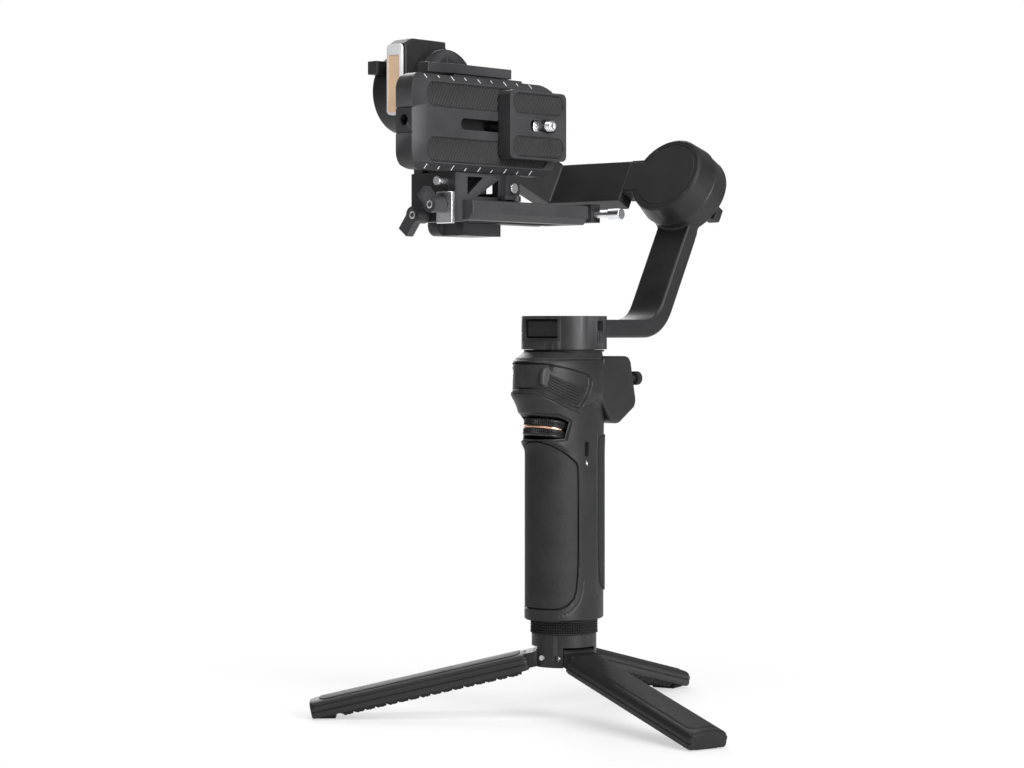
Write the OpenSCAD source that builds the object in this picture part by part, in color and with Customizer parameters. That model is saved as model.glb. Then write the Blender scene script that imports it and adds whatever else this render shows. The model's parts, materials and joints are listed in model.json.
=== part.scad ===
// Handheld three-axis camera gimbal on a folding mini tripod.
// Millimetres. +X is the open camera side, +Y points back to the operator, +Z is up.
// The origin is the mouth of the threaded socket under the tripod hub, on the pan axis.

/* [Handle] */
// Width of the grip, side to side
grip_w = 40; // [35:0.5:48]
// Depth of the grip, front to back
grip_d = 49; // [43:0.5:58]
// Height of the grip column
grip_h = 105.4; // [92:0.5:130]
// Wall of the handle casing
wall = 2.6; // [2.2:0.1:3.2]
// How far the control head leans out in front of the grip
nose_reach = 11.5; // [9:0.5:13]
// Radius of the focus wheel
wheel_r = 13.5; // [11.5:0.25:14.5]

/* [Mini tripod] */
// Radius of the tripod hub
hub_r = 18.5; // [17.5:0.25:22]
// Height of the tripod hub
hub_h = 18.4; // [16:0.2:22]
// Radius from the centre to a foot's tip
leg_reach = 144; // [120:1:175]
// Slope of an open leg below horizontal, degrees
leg_slope = 12.6; // [10:0.2:15]
// Width of a leg
leg_w = 25.4; // [22:0.2:26]
// Turn of the tripod on its screw, degrees
tripod_turn = 43; // [0:1:119]
// Radius of the threaded socket under the hub
socket_r = 3.175; // [2.5:0.025:4.8]
// Depth of the threaded socket
socket_depth = 8; // [6:0.5:9]

/* [Motors] */
// Radius of the pan motor housing
pan_r = 24.5; // [23:0.25:30]
// Height of the pan motor housing
pan_h = 19; // [18:0.25:24]
// Radius of the roll motor at its widest
roll_r = 26.6; // [25:0.2:32]
// Radius of the tilt motor
tilt_r = 24.4; // [22:0.2:26]
// Radius of the motor shafts
shaft_r = 4; // [3:0.25:5]
// Running clearance between a shaft and its bearing
shaft_fit = 0.05; // [0.02:0.01:0.08]

/* [Arms] */
// Width of the pan arm bar
bar_w = 24.6; // [20:0.2:27]
// Thickness of the pan arm bar
bar_t = 10.5; // [8:0.25:11.5]
// Height of the crossing of the three axes above the pan motor
axis_rise = 134.5; // [134:0.5:165]
// Lean of the roll axis above horizontal, degrees
roll_lean = 28; // [24:0.5:34]
// Distance from the crossing of the axes to the face of the roll motor
roll_reach = 104.9; // [104.5:0.1:120]
// Distance from the crossing of the axes to the face of the tilt motor
tilt_reach = 92; // [91:0.5:108]
// Height of the roll arm beam
beam_h = 22; // [18:0.5:26]

/* [Camera plates] */
// Length of the long dovetail plate
plate_l = 120; // [100:1:122]
// Height of the long dovetail plate
plate_w = 54; // [46:0.5:56]
// Thickness of the long dovetail plate
plate_t = 12.5; // [11:0.25:14]
// Length of the small camera plate
cam_l = 49; // [42:0.5:56]
// Height of the small camera plate
cam_w = 39.6; // [34:0.2:46]
// Thickness of the small camera plate
cam_t = 9.5; // [8:0.25:11]
// Radius of the camera screw
camera_screw_r = 3.175; // [2.4:0.025:4.8]
// How far the camera screw stands out of its plate
camera_screw_out = 5.5; // [4.5:0.25:8]

/* [Hidden] */
$fn = 48;

gap = 0.25;        // clearance between pieces that move past each other
slip = 0.15;       // clearance in a close sliding guide

// heights up the handle
ring_h = 8;
handle_z = hub_h + ring_h + 0.2;
col_top = handle_z + grip_h;
head_h = 46.6;
casing_top = col_top + head_h;
head_z1 = col_top + 42;
floor_t = 3;

// plan sizes of the control head
head_w = grip_w + 3.6;
head_front = grip_d / 2 + nose_reach;
head_back = grip_d / 2 - 2.5;

// pan motor
pan_z = casing_top + 1.4;
pan_top = pan_z + pan_h;
rotor_h = 4.2;
bar_z = pan_z + rotor_h + 2.3;

// crossing of the three axes
axis_z = pan_top + axis_rise;

// roll motor, measured along the roll axis from the crossing
roll_face = roll_reach;
roll_seam = roll_face + 14.1;
roll_back = roll_seam + 14;
stator_r = roll_r - 0.6;
cover_t = 1.3;
cup_wall = 4;

// roll arm beam
beam_y0 = roll_face + 0.3;
beam_y1 = beam_y0 + 11.5;
beam_seam = -30;
side_wall = 86;

// tilt motor
tilt_seam = tilt_reach + 8.2;
tilt_end = tilt_reach + 38.8;

// camera carrier, from the tilt motor towards the camera
arm_x0 = -tilt_reach + 8;
arm_t = 8;
arm_x1 = arm_x0 + arm_t;
rail_x0 = arm_x1 + 3;
rail_w = 43;
rail_x1 = rail_x0 + rail_w;
plate_x1 = rail_x1 - 5.5;
plate_x0 = plate_x1 - plate_t;
cam_x1 = plate_x1 + cam_t;
plate_mid_z = axis_z - 25.5;
plate_z0 = plate_mid_z - plate_w / 2;
plate_z1 = plate_mid_z + plate_w / 2;
plate_y1 = 32;
plate_y0 = plate_y1 - plate_l;
plate_bevel = 3.75;
block_z1 = plate_z0 - 0.3;
rail_h = 11.4;
rail_z1 = block_z1 - 15.7;
rail_z0 = rail_z1 - rail_h;
rail_y0 = -44;
rail_y1 = 57;
cam_y1 = plate_y1;
cam_y0 = cam_y1 - cam_l;
cam_hole_y = cam_y1 - 17.5;
slot_h = 6.5;

// ---------------------------------------------------------------- helpers

function spow(v, e) = sign(v) * pow(abs(v), e);
function arc(cx, cy, r, a0, a1, n = 12) =
    [for (i = [0:n]) let (a = a0 + (a1 - a0) * i / n) [cx + r * cos(a), cy + r * sin(a)]];

// oval section of the grip
module oval(w, d, n = 44, p = 2.15) {
    polygon([for (i = [0:n - 1]) let (t = 360 * i / n)
        [w / 2 * spow(cos(t), 2 / p), d / 2 * spow(sin(t), 2 / p)]]);
}

// rectangle with true round corners, centred
module round_rect(w, h, r) {
    square([w - 2 * r, h], center = true);
    square([w, h - 2 * r], center = true);
    for (x = [-1, 1], y = [-1, 1])
        translate([x * (w / 2 - r), y * (h / 2 - r)]) circle(r);
}

// box from its low corner to its high corner
module span(a, b) {
    translate(a) cube(b - a);
}

// plate lying in the YZ plane between two X values
module yz_plate(x0, x1) {
    translate([x0, 0, 0]) rotate([90, 0, 90]) linear_extrude(x1 - x0) children();
}

// plate lying in the XZ plane between two Y values
module xz_plate(y0, y1) {
    translate([0, y1, 0]) rotate([90, 0, 0]) linear_extrude(y1 - y0) children();
}

module rod_x(x0, x1, y, z, r) {
    translate([x0, y, z]) rotate([0, 90, 0]) cylinder(h = x1 - x0, r = r);
}

module rod_y(y0, y1, x, z, r) {
    translate([x, y1, z]) rotate([90, 0, 0]) cylinder(h = y1 - y0, r = r);
}

module tube_x(x0, x1, y, z, r_out, r_in) {
    difference() {
        rod_x(x0, x1, y, z, r_out);
        rod_x(x0 - 1, x1 + 1, y, z, r_in);
    }
}

// frame at the crossing of the axes, with Y running back along the roll axis
module roll_frame() {
    translate([0, 0, axis_z]) rotate([-roll_lean, 0, 0]) children();
}

// ---------------------------------------------------------------- handle casing

ring_n = 44;

// outline made of two half ovals, reaching forward and back by different amounts
function two_reach(w, front, back, p = 2.15) = [for (i = [0:ring_n - 1])
    let (t = 360 * i / ring_n, reach = sin(t) < 0 ? front : back)
    [w / 2 * spow(cos(t), 2 / p), reach * spow(sin(t), 2 / p)]];

// one ring of the handle's surface, as [height, width, reach forward, reach back, roundness]
function oval_ring(r, inset) = [
    for (q = two_reach(r[1] - 2 * inset, r[2] - inset, r[3] - inset, r[4])) [q.x, q.y, r[0]]
];

// solid skin through a stack of rings
module loft(rings) {
    last = len(rings) - 1;
    polyhedron(
        points = [for (r = rings) each r],
        faces = concat(
            [[for (i = [0:ring_n - 1]) i]],
            [for (k = [0:last - 1], i = [0:ring_n - 1])
                [k * ring_n + i, (k + 1) * ring_n + i, (k + 1) * ring_n + (i + 1) % ring_n]],
            [for (k = [0:last - 1], i = [0:ring_n - 1])
                [k * ring_n + i, (k + 1) * ring_n + (i + 1) % ring_n, k * ring_n + (i + 1) % ring_n]],
            [[for (i = [ring_n - 1:-1:0]) last * ring_n + i]]
        ),
        convexity = 4
    );
}

// the head swells forward over the wheel and trigger, then closes to the pan motor
function handle_rings(z0, z1) = let (g = grip_d / 2) [
    [z0, grip_w, g, g, 2.15],
    [col_top - 10, grip_w, g, g, 2.15],
    [col_top - 3, grip_w + 0.8, g + nose_reach * 0.2, g, 2.15],
    [col_top + 8.5, grip_w + 1.4, g + nose_reach * 0.38, g, 2.15],
    [col_top + 17, grip_w + 2.2, g + nose_reach * 0.68, g - 1, 2.15],
    [col_top + 22.5, head_w, head_front, head_back, 2.15],
    [col_top + 38, head_w, head_front - 0.2, head_back, 2.15],
    [head_z1 + 1, head_w, head_front - 2, head_back, 2.15],
    [z1, 2 * pan_r - 2, pan_r - 1, pan_r - 1, 2]
];

// the handle's outer form, or with an inset its hollow
module casing_form(inset, z0, z1) {
    loft([for (r = handle_rings(z0, z1)) oval_ring(r, inset)]);
}

pod_y = 14;
pod_z0 = col_top + 5.2;
trigger_z0 = col_top + 26.8;
trigger_z1 = col_top + 39.5;
trigger_w = 26;
pivot_y = -head_front + 9.5;
pivot_z = trigger_z1 - 2;
pivot_r = 1.4;
pivot_half = 14.6;
wheel_z = col_top + 2.5;
wheel_y = -grip_d / 2 + 9.7;
wheel_h = 10;
wheel_lean = 10;
window_half = wheel_r + 2;
pad_z0 = handle_z + 6.5;
pad_z1 = col_top - 6;
pad_y = -8;
pad_t = 1.2;
strip_z0 = handle_z + 14.6;
strip_z1 = col_top;
strip_y = 7.7;
strip_t = 0.8;
strip_gap = 0.1;
usb_y = -5.9;
usb_z = col_top - 8.4;
screw_y = grip_d / 2 - 6.8;
screw_head_r = 1.9;
screw_zs = [col_top - 27, col_top - 4];

// ring of the grip's surface between two depths below it
module surface_band(d0, d1, z0, z1) {
    translate([0, 0, z0]) linear_extrude(z1 - z0) difference() {
        oval(grip_w - 2 * d0, grip_d - 2 * d0);
        oval(grip_w - 2 * d1, grip_d - 2 * d1);
    }
}

module casing_half(side) {
    difference() {
        union() {
            difference() {
                casing_form(0, handle_z, casing_top);
                casing_form(wall, handle_z + floor_t, casing_top - 2);
            }
            intersection() {
                for (z = screw_zs) rod_x(-grip_w / 2, grip_w / 2, screw_y, z, 2.6);
                translate([0, 0, handle_z]) linear_extrude(grip_h)
                    oval(grip_w - 1, grip_d - 1);
            }
        }
        span([side > 0 ? -100 : 0, -100, -1], [side > 0 ? 0 : 100, 100, 300]);
        // pod seat
        span([-50, pod_y, pod_z0], [50, 60, head_z1 + 0.2]);
        // trigger opening
        span([-trigger_w / 2 - 0.3, -60, trigger_z0 - 1.6],
             [trigger_w / 2 + 0.3, pivot_y + 0.7, trigger_z1 + 0.6]);
        rod_x(-pivot_half - 0.3, pivot_half + 0.3, pivot_y, pivot_z, pivot_r + shaft_fit);
        // wheel window
        span([-window_half, -60, wheel_z - 4.2], [window_half, wheel_y, wheel_z + 9]);
        on_wheel_axis() cylinder(h = wheel_h + 1.6, r = wheel_r + 0.7, center = true);
        // recess of the grip pad
        intersection() {
            surface_band(-2, pad_t, pad_z0, pad_z1);
            span([-60, -60, 0], [60, pad_y, 300]);
        }
        // tripod screw
        translate([0, 0, handle_z - 1]) cylinder(h = floor_t + 2, r = 3.3);
        // charging slot
        if (side > 0) translate([0, usb_y, usb_z]) yz_plate(5, 40)
            round_rect(3.2, 9.2, 1.55);
        // casing screws
        for (z = screw_zs) {
            rod_x(-40, 12, screw_y, z, 1.15);
            rod_x(-40, -11, screw_y, z, screw_head_r + 0.2);
        }
    }
}

module casing_left() {
    color([0.10, 0.10, 0.105]) casing_half(-1);
}

module casing_right() {
    color([0.12, 0.12, 0.125]) casing_half(1);
}

module grip_pad() {
    color([0.13, 0.13, 0.13]) intersection() {
        surface_band(0, pad_t - 0.05, pad_z0 + 0.1, pad_z1 - 0.1);
        span([-60, -60, 0], [60, pad_y - 0.1, 300]);
    }
}

module rear_strip() {
    color([0.09, 0.09, 0.09]) intersection() {
        difference() {
            surface_band(-strip_t, -strip_gap, strip_z0, strip_z1);
            // the column begins to widen here
            translate([0, 0, col_top - 10.5]) linear_extrude(20)
                oval(grip_w + 1.15, grip_d + 2 * strip_gap);
        }
        span([-60, strip_y, 0], [60, 60, 300]);
    }
}

// ---------------------------------------------------------------- control pod

pod_half = 18.5;
pod_top = head_z1 + 2;
pod_back = head_back + 16;
pod_lean = 13;
face_mid_y = pod_back + 3;
face_mid_z = pod_top - 14;

// side outline of the pod, with an inset for its hollow
function pod_outline(i) = [
    [pod_y + 0.2 - i, pod_z0 + 0.2 + i],
    [pod_y + 13, pod_z0 + 0.2 + i],
    [pod_back + 4.5 - i, pod_z0 + 9 + i * 0.5],
    [pod_back + 6 - i, pod_z0 + 13],
    [pod_back + 0.8 - i, pod_top - 3],
    [pod_back - 2 - i * 0.5, pod_top - i],
    [pod_y + 0.2 - i, pod_top - i]
];

joystick_at = [13, 0, face_mid_z + 1];
record_at = [12, 0, face_mid_z - 10];

module control_pod() {
    color([0.13, 0.13, 0.135]) difference() {
        yz_plate(-pod_half, pod_half) polygon(pod_outline(0));
        yz_plate(-pod_half + 2, pod_half - 2) polygon(pod_outline(2));
        rod_y(pod_y + 5, 80, joystick_at.x, joystick_at.z, 3.2);
        rod_y(pod_y + 5, 80, record_at.x, record_at.z, 3.6);
        casing_clear();
    }
}

// the casing's own form, which the pod's roof stays clear of
module casing_clear() {
    casing_form(-0.1, handle_z, casing_top + 0.1);
}

module on_pod_face() {
    translate([0, face_mid_y + 1.1, face_mid_z]) rotate([pod_lean, 0, 0]) children();
}

module display() {
    color([0.03, 0.03, 0.035]) on_pod_face()
        xz_plate(0.1, 1.2) translate([-4, 0]) round_rect(22, 17, 2);
}

module joystick() {
    color([0.06, 0.06, 0.06]) {
        rod_y(face_mid_y - 4, face_mid_y + 5.4, joystick_at.x, joystick_at.z, 1.8);
        rod_y(face_mid_y + 5.4, face_mid_y + 9, joystick_at.x, joystick_at.z, 4);
        translate([joystick_at.x, face_mid_y - 4, joystick_at.z]) sphere(2.6);
    }
}

module record_button() {
    color([0.45, 0.05, 0.05]) {
        rod_y(face_mid_y - 4, face_mid_y + 4.6, record_at.x, record_at.z, 3.4);
        rod_y(face_mid_y - 5.2, face_mid_y - 4, record_at.x, record_at.z, 4.2);
    }
}

// ---------------------------------------------------------------- inside the handle

cell_r = 9.2;
cell_l = 65;

module battery_cells() {
    color([0.15, 0.3, 0.5]) for (s = [-1, 1])
        translate([0, s * (cell_r + 0.15), handle_z + floor_t + 0.3])
            cylinder(h = cell_l, r = cell_r);
}

module main_board() {
    board_y = 12;
    color([0.05, 0.25, 0.12])
        span([-14, board_y, handle_z + floor_t + cell_l + 0.6],
             [14, board_y + 1.6, pod_z0 - 1]);
}

module usb_port() {
    color([0.6, 0.6, 0.62]) translate([0, usb_y, usb_z]) yz_plate(grip_w / 2 - 7, grip_w / 2 - 1.4)
        difference() {
            round_rect(3, 9, 1.45);
            round_rect(2.2, 8.2, 1.05);
        }
}

module casing_screws() {
    color([0.5, 0.5, 0.52]) for (z = screw_zs) {
        rod_x(-11, 10, screw_y, z, 1.1);
        rod_x(-12.2, -11, screw_y, z, screw_head_r);
    }
}

module on_wheel_axis() {
    translate([0, wheel_y, wheel_z]) rotate([-wheel_lean, 0, 0]) children();
}

module wheel_carrier() {
    color([0.2, 0.2, 0.2]) {
        difference() {
            union() {
                for (z = [-9.7, 7.7])
                    span([-12.4, wheel_y - 0.6, wheel_z + z],
                         [12.4, wheel_y + wheel_r + 3, wheel_z + z + 2]);
                span([-6, wheel_y + wheel_r + 1, wheel_z - 9.7],
                     [6, wheel_y + wheel_r + 3, wheel_z + 9.7]);
            }
            on_wheel_axis() cylinder(h = 40, r = 1.5, center = true);
        }
        on_wheel_axis() cylinder(h = 19, r = 1.48, center = true);
    }
}

module focus_wheel() {
    teeth = 40;
    color([0.08, 0.08, 0.08]) on_wheel_axis() difference() {
        union() {
            translate([0, 0, -wheel_h / 2]) cylinder(h = wheel_h, r = wheel_r - 0.5);
            for (z = [-wheel_h / 2, 0.8]) translate([0, 0, z])
                cylinder(h = wheel_h / 2 - 0.8, r = wheel_r);
        }
        cylinder(h = 40, r = 1.5 + shaft_fit, center = true);
    }
}

module trigger() {
    front = head_front - 0.6;
    color([0.15, 0.15, 0.15]) {
        difference() {
            intersection() {
                translate([0, 0, trigger_z0]) linear_extrude(trigger_z1 - trigger_z0)
                    polygon(two_reach(head_w - 1.2, front, head_back));
                span([-trigger_w / 2, -60, 0], [trigger_w / 2, pivot_y - 1.6, 300]);
            }
            translate([0, 0, trigger_z0 - 1]) linear_extrude(9)
                polygon(two_reach(head_w - 7, front - 3, head_back));
        }
        span([-trigger_w / 2 + 0.6, pivot_y - 2.4, pivot_z - 1.8],
             [trigger_w / 2 - 0.6, pivot_y, pivot_z + 1.8]);
        rod_x(-pivot_half, pivot_half, pivot_y, pivot_z, pivot_r);
    }
}

// ---------------------------------------------------------------- mini tripod

hinge_r = 13;
hinge_z = 5.2;
knuckle_r = 5.2;
knuckle_w = 20;
pin_r = 1.6;
body_x = 8.2;
leg_l = (leg_reach - hinge_r) / cos(leg_slope);
leg_top = 5;
leg_low = -5.4;
pad_low = -7.9;
foot_low = -8.9;
foot_l = 13;
floor_z = hinge_z - leg_l * sin(leg_slope) - 5;

module at_leg(n) {
    rotate(tripod_turn + 120 * n + 60) children();
}

module on_leg(n) {
    at_leg(n) translate([hinge_r, 0, hinge_z]) rotate([0, leg_slope, 0]) children();
}

module tripod_hub() {
    neck_r = 10;
    color([0.09, 0.09, 0.09]) difference() {
        union() {
            cylinder(h = hub_h, r = hub_r);
            translate([0, 0, hub_h]) cylinder(h = ring_h, r = neck_r);
        }
        translate([0, 0, -1]) cylinder(h = socket_depth + 1, r = socket_r);
        translate([0, 0, socket_depth + 1.5]) cylinder(h = 40, r = 3.12);
        for (n = [0:2]) at_leg(n) {
            span([hinge_r - knuckle_r - 0.5, -knuckle_w / 2 - gap, -1],
                 [hub_r + 5, knuckle_w / 2 + gap, hinge_z + knuckle_r + 1]);
            translate([hinge_r, 0, hinge_z]) rotate([90, 0, 0])
                cylinder(h = 60, r = pin_r, center = true);
        }
    }
}

module lock_ring() {
    color([0.08, 0.08, 0.08]) translate([0, 0, hub_h + 0.1]) difference() {
        union() {
            cylinder(h = ring_h, r = hub_r + 0.3);
            for (k = [0:3]) translate([0, 0, 0.6 + k * 1.9])
                cylinder(h = 1.3, r = hub_r + 0.8);
        }
        translate([0, 0, -1]) cylinder(h = ring_h + 2, r = 10.1);
    }
}

module hub_screw() {
    color([0.7, 0.7, 0.7]) translate([0, 0, socket_depth + 1.6])
        cylinder(h = handle_z + floor_t - socket_depth - 1.6, r = 3.1);
}

module leg_pins() {
    color([0.6, 0.6, 0.62]) for (n = [0:2]) at_leg(n)
        translate([hinge_r, 0, hinge_z]) rotate([90, 0, 0])
            cylinder(h = 2 * sqrt(hub_r * hub_r - hinge_r * hinge_r) - 1, r = pin_r,
                     center = true);
}

// width that a folded leg may have at a height below its hinge line
function folded_half(z) = min(leg_w / 2, (hinge_r + z) * tan(60) - 0.35);

// section of a leg between two heights, arched above
module leg_section(z_low) {
    half = leg_w / 2;
    polygon(concat(
        [[-folded_half(z_low), z_low], [folded_half(z_low), z_low]],
        [[half, max(z_low, leg_low + 2)], [half, 1]],
        [for (i = [1:7]) let (a = 180 * i / 8) [half * cos(a), 1 + (leg_top - 1) * sin(a)]],
        [[-half, 1], [-half, max(z_low, leg_low + 2)]]
    ));
}

module leg(n) {
    color([0.1, 0.1, 0.1]) on_leg(n) {
        difference() {
            union() {
                rotate([90, 0, 0]) cylinder(h = knuckle_w, r = knuckle_r, center = true);
                span([0, -knuckle_w / 2, -knuckle_r], [body_x + 1, knuckle_w / 2, leg_top]);
                translate([body_x, 0, 0]) rotate([90, 0, 90])
                    linear_extrude(leg_l - body_x) leg_section(leg_low);
            }
            rotate([90, 0, 0]) cylinder(h = 60, r = pin_r + shaft_fit, center = true);
        }
    }
    color([0.05, 0.05, 0.05]) difference() {
        on_leg(n) {
            translate([body_x + 2, 0, 0]) rotate([90, 0, 90])
                linear_extrude(leg_l - body_x - foot_l - 3) foot_section(leg_low, pad_low, 3.5);
            translate([leg_l - foot_l, 0, 0]) rotate([90, 0, 90])
                linear_extrude(foot_l - 1) foot_section(leg_low, foot_low - 3, 0);
        }
        span([-300, -300, floor_z - 50], [300, 300, floor_z]);
    }
}

module foot_section(z1, z0, inset) {
    polygon([
        [-folded_half(z1) + inset, z1], [-folded_half(z0) + inset * 0.5, z0],
        [folded_half(z0) - inset * 0.5, z0], [folded_half(z1) - inset, z1]
    ]);
}

module leg_a() {
    leg(1);
}

module leg_b() {
    leg(2);
}

module leg_c() {
    leg(0);
}

// ---------------------------------------------------------------- pan motor

bearing_r = shaft_r + 3;
core_r = pan_r - 7.3;

module pan_stator() {
    color([0.08, 0.08, 0.08]) difference() {
        union() {
            translate([0, 0, casing_top + 0.1]) cylinder(h = 1, r = pan_r - 1.5);
            translate([0, 0, casing_top + 0.1]) cylinder(h = rotor_h, r = core_r);
        }
        translate([0, 0, casing_top - 1]) cylinder(h = 20, r = bearing_r);
    }
}

module pan_bearings() {
    color([0.7, 0.7, 0.7]) for (z = [0.1, rotor_h - 1.9]) translate([0, 0, casing_top + z])
        difference() {
            cylinder(h = 2, r = bearing_r);
            translate([0, 0, -1]) cylinder(h = 5, r = shaft_r + shaft_fit);
        }
}

latch_a = 9;
latch_w = 6;
lever_a0 = 124;
lever_a1 = 172;
lever_z0 = bar_z + 0.8;
lever_z1 = bar_z + 7.6;
lever_t = 3.6;
lever_pin_r = 1.2;
lever_mid_r = pan_r + gap + lever_t / 2;

module at_lever_pin() {
    rotate(lever_a0 + 5) translate([lever_mid_r, 0, 0]) children();
}

module pan_housing() {
    color([0.12, 0.12, 0.125]) difference() {
        union() {
            translate([0, 0, pan_z]) cylinder(h = pan_h, r = pan_r);
            at_lever_pin() for (z = [lever_z0 - 2.2, lever_z1 + gap])
                translate([0, 0, z]) {
                    cylinder(h = 1.95, r = 2.2);
                    span([-lever_t, -2.2, 0], [0, 2.2, 1.95]);
                }
        }
        translate([0, 0, pan_z - 1]) cylinder(h = rotor_h + 1, r = pan_r - 4.4);
        // bar channel
        span([-bar_w / 2 - slip, -60, bar_z - slip], [bar_w / 2 + slip, 60, bar_z + bar_t + slip]);
        // latch notch
        rotate(latch_a) span([pan_r - 3.4, -latch_w / 2 - gap, pan_z + 4],
                             [pan_r + 3, latch_w / 2 + gap, pan_z + 16.2]);
        at_lever_pin() translate([0, 0, pan_z - 5])
            cylinder(h = 40, r = lever_pin_r + shaft_fit);
        // window in front of the bar
        span([-17, -60, bar_z - 1.6], [17, -pan_r + 4.6, bar_z + bar_t + 0.4]);
    }
}

module pan_rotor() {
    ring_r = pan_r - 4.5;
    color([0.5, 0.5, 0.52]) translate([0, 0, casing_top + 0.4]) difference() {
        union() {
            cylinder(h = rotor_h + 1, r = shaft_r);
            translate([0, 0, rotor_h]) cylinder(h = 1, r = ring_r);
            translate([0, 0, 1.3]) difference() {
                cylinder(h = rotor_h - 0.4, r = ring_r);
                translate([0, 0, -1]) cylinder(h = rotor_h + 0.7, r = core_r + gap);
            }
        }
    }
}

module pan_lock_latch() {
    color([0.16, 0.16, 0.16]) rotate(latch_a) {
        span([pan_r - 3.2, -latch_w / 2, pan_z + 4.2], [pan_r + 0.2, latch_w / 2, pan_z + 10.6]);
        span([pan_r, -latch_w / 2 + 0.8, pan_z + 5], [pan_r + 1.3, latch_w / 2 - 0.8, pan_z + 9.8]);
    }
}

module pan_clamp_lever() {
    r0 = pan_r + gap;
    r1 = r0 + lever_t;
    color([0.1, 0.1, 0.1]) {
        translate([0, 0, lever_z0]) linear_extrude(lever_z1 - lever_z0)
            polygon(concat(arc(0, 0, r1, lever_a0 + 4.4, lever_a1, 10),
                           arc(0, 0, r0, lever_a1, lever_a0 + 4.4, 10)));
        at_lever_pin() {
            translate([0, 0, lever_z0 - 2.1])
                cylinder(h = lever_z1 - lever_z0 + 4.3, r = lever_pin_r);
            translate([0, 0, lever_z0]) cylinder(h = lever_z1 - lever_z0, r = lever_t / 2);
        }
    }
}

// ---------------------------------------------------------------- pan arm

bar_front = -18.5;
arm_back = roll_back + 3;
bend_out = 28;
bend_a = 90 - roll_lean;

// side outline of the pan arm, from the bar round the bend and up to the roll motor
function arm_outline() =
    let (
        z0 = bar_z,
        corner = (arm_back - (axis_z - z0) * sin(roll_lean)) / cos(roll_lean),
        cy = corner - bend_out * tan(bend_a / 2),
        cz = z0 + bend_out,
        end = -stator_r + 9,
        up = [sin(roll_lean), cos(roll_lean)],
        out = [cos(roll_lean), -sin(roll_lean)],
        top_out = [0, axis_z] + arm_back * out + (end - 12) * up,
        top_mid = [0, axis_z] + roll_back * out + end * up,
        top_in = [0, axis_z] + (arm_back - bar_t) * out + end * up
    )
    concat(
        [[bar_front, z0]],
        arc(cy, cz, bend_out, -90, -90 + bend_a, 14),
        [top_out, top_mid, top_in],
        arc(cy, cz, bend_out - bar_t, -90 + bend_a, -90, 14),
        [[bar_front, z0 + bar_t]]
    );

module pan_arm() {
    color([0.12, 0.12, 0.125]) {
        difference() {
            union() {
                yz_plate(-bar_w / 2, bar_w / 2) polygon(arm_outline());
                roll_frame() rod_y(roll_seam + 0.3, roll_back, 0, 0, stator_r);
            }
            roll_frame() rod_y(roll_seam - 20, roll_back - 3, 0, 0, stator_r - cup_wall);
        }
    }
    color([0.08, 0.08, 0.08]) roll_frame()
        xz_plate(arm_back + 0.05, arm_back + 2) translate([0, -stator_r - 18])
            round_rect(14, 22, 4);
}

module roll_stator() {
    color([0.45, 0.28, 0.15]) roll_frame() difference() {
        union() {
            rod_y(roll_face + 5.9, roll_back - 5, 0, 0, stator_r - cup_wall - 3.2);
            rod_y(roll_back - 6, roll_back - 3.05, 0, 0, stator_r - cup_wall - 0.1);
        }
        rod_y(roll_face, roll_back, 0, 0, bearing_r);
    }
}

module roll_bearings() {
    color([0.7, 0.7, 0.7]) roll_frame() for (y = [roll_face + 6.2, roll_back - 7.4])
        difference() {
            rod_y(y, y + 4, 0, 0, bearing_r);
            rod_y(y - 1, y + 5, 0, 0, shaft_r + shaft_fit);
        }
}

module roll_lock_latch() {
    color([0.16, 0.16, 0.16]) roll_frame()
        xz_plate(roll_back + 0.2, roll_back + 5.6) translate([stator_r - 7.4, -10.5])
            round_rect(9, 9, 1.5);
}

// ---------------------------------------------------------------- roll rotor and its cover

tongue_x = -58;
tongue_half = beam_h / 2 - 3;
tongue_y0 = beam_y0 + 3.2;
tongue_y1 = beam_y1 - 3;

module roll_housing() {
    color([0.12, 0.12, 0.125]) roll_frame() difference() {
        union() {
            rotate([-90, 0, 0]) rotate_extrude() polygon([
                [0, roll_face], [roll_r - 3.4, roll_face], [roll_r - 2.2, roll_face + 1.2],
                [roll_r, roll_seam], [0, roll_seam]
            ]);
            span([beam_seam, beam_y0, -beam_h / 2], [-roll_r + 8, beam_y1, beam_h / 2]);
            span([tongue_x, tongue_y0, -tongue_half], [beam_seam + 1, tongue_y1, tongue_half]);
        }
        rod_y(roll_face + 4.1, roll_seam + 5, 0, 0, roll_r - 5);
        rod_y(roll_face - 1, roll_face + cover_t, 0, 0, roll_r - 6);
        span([beam_seam - 1, roll_face - 1, -beam_h / 2 + 1],
             [0, roll_face + cover_t, beam_h / 2 - 1]);
    }
}

module roll_cover() {
    color([0.1, 0.1, 0.1]) roll_frame() {
        rod_y(roll_face, roll_face + cover_t - 0.05, 0, 0, roll_r - 6.15);
        span([beam_seam + 0.3, roll_face, -beam_h / 2 + 1.15],
             [0, roll_face + cover_t - 0.05, beam_h / 2 - 1.15]);
    }
}

module roll_rotor() {
    color([0.5, 0.5, 0.52]) roll_frame() {
        rod_y(roll_face + 4.15, roll_back - 3.5, 0, 0, shaft_r);
        rod_y(roll_face + 4.15, roll_face + 5.15, 0, 0, roll_r - 5.1);
        difference() {
            rod_y(roll_face + 5.1, roll_seam - 0.5, 0, 0, roll_r - 5.1);
            rod_y(roll_face + 5, roll_seam, 0, 0, roll_r - 7.2);
        }
    }
}

// ---------------------------------------------------------------- roll arm and tilt motor

lip = 5.5;

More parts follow.
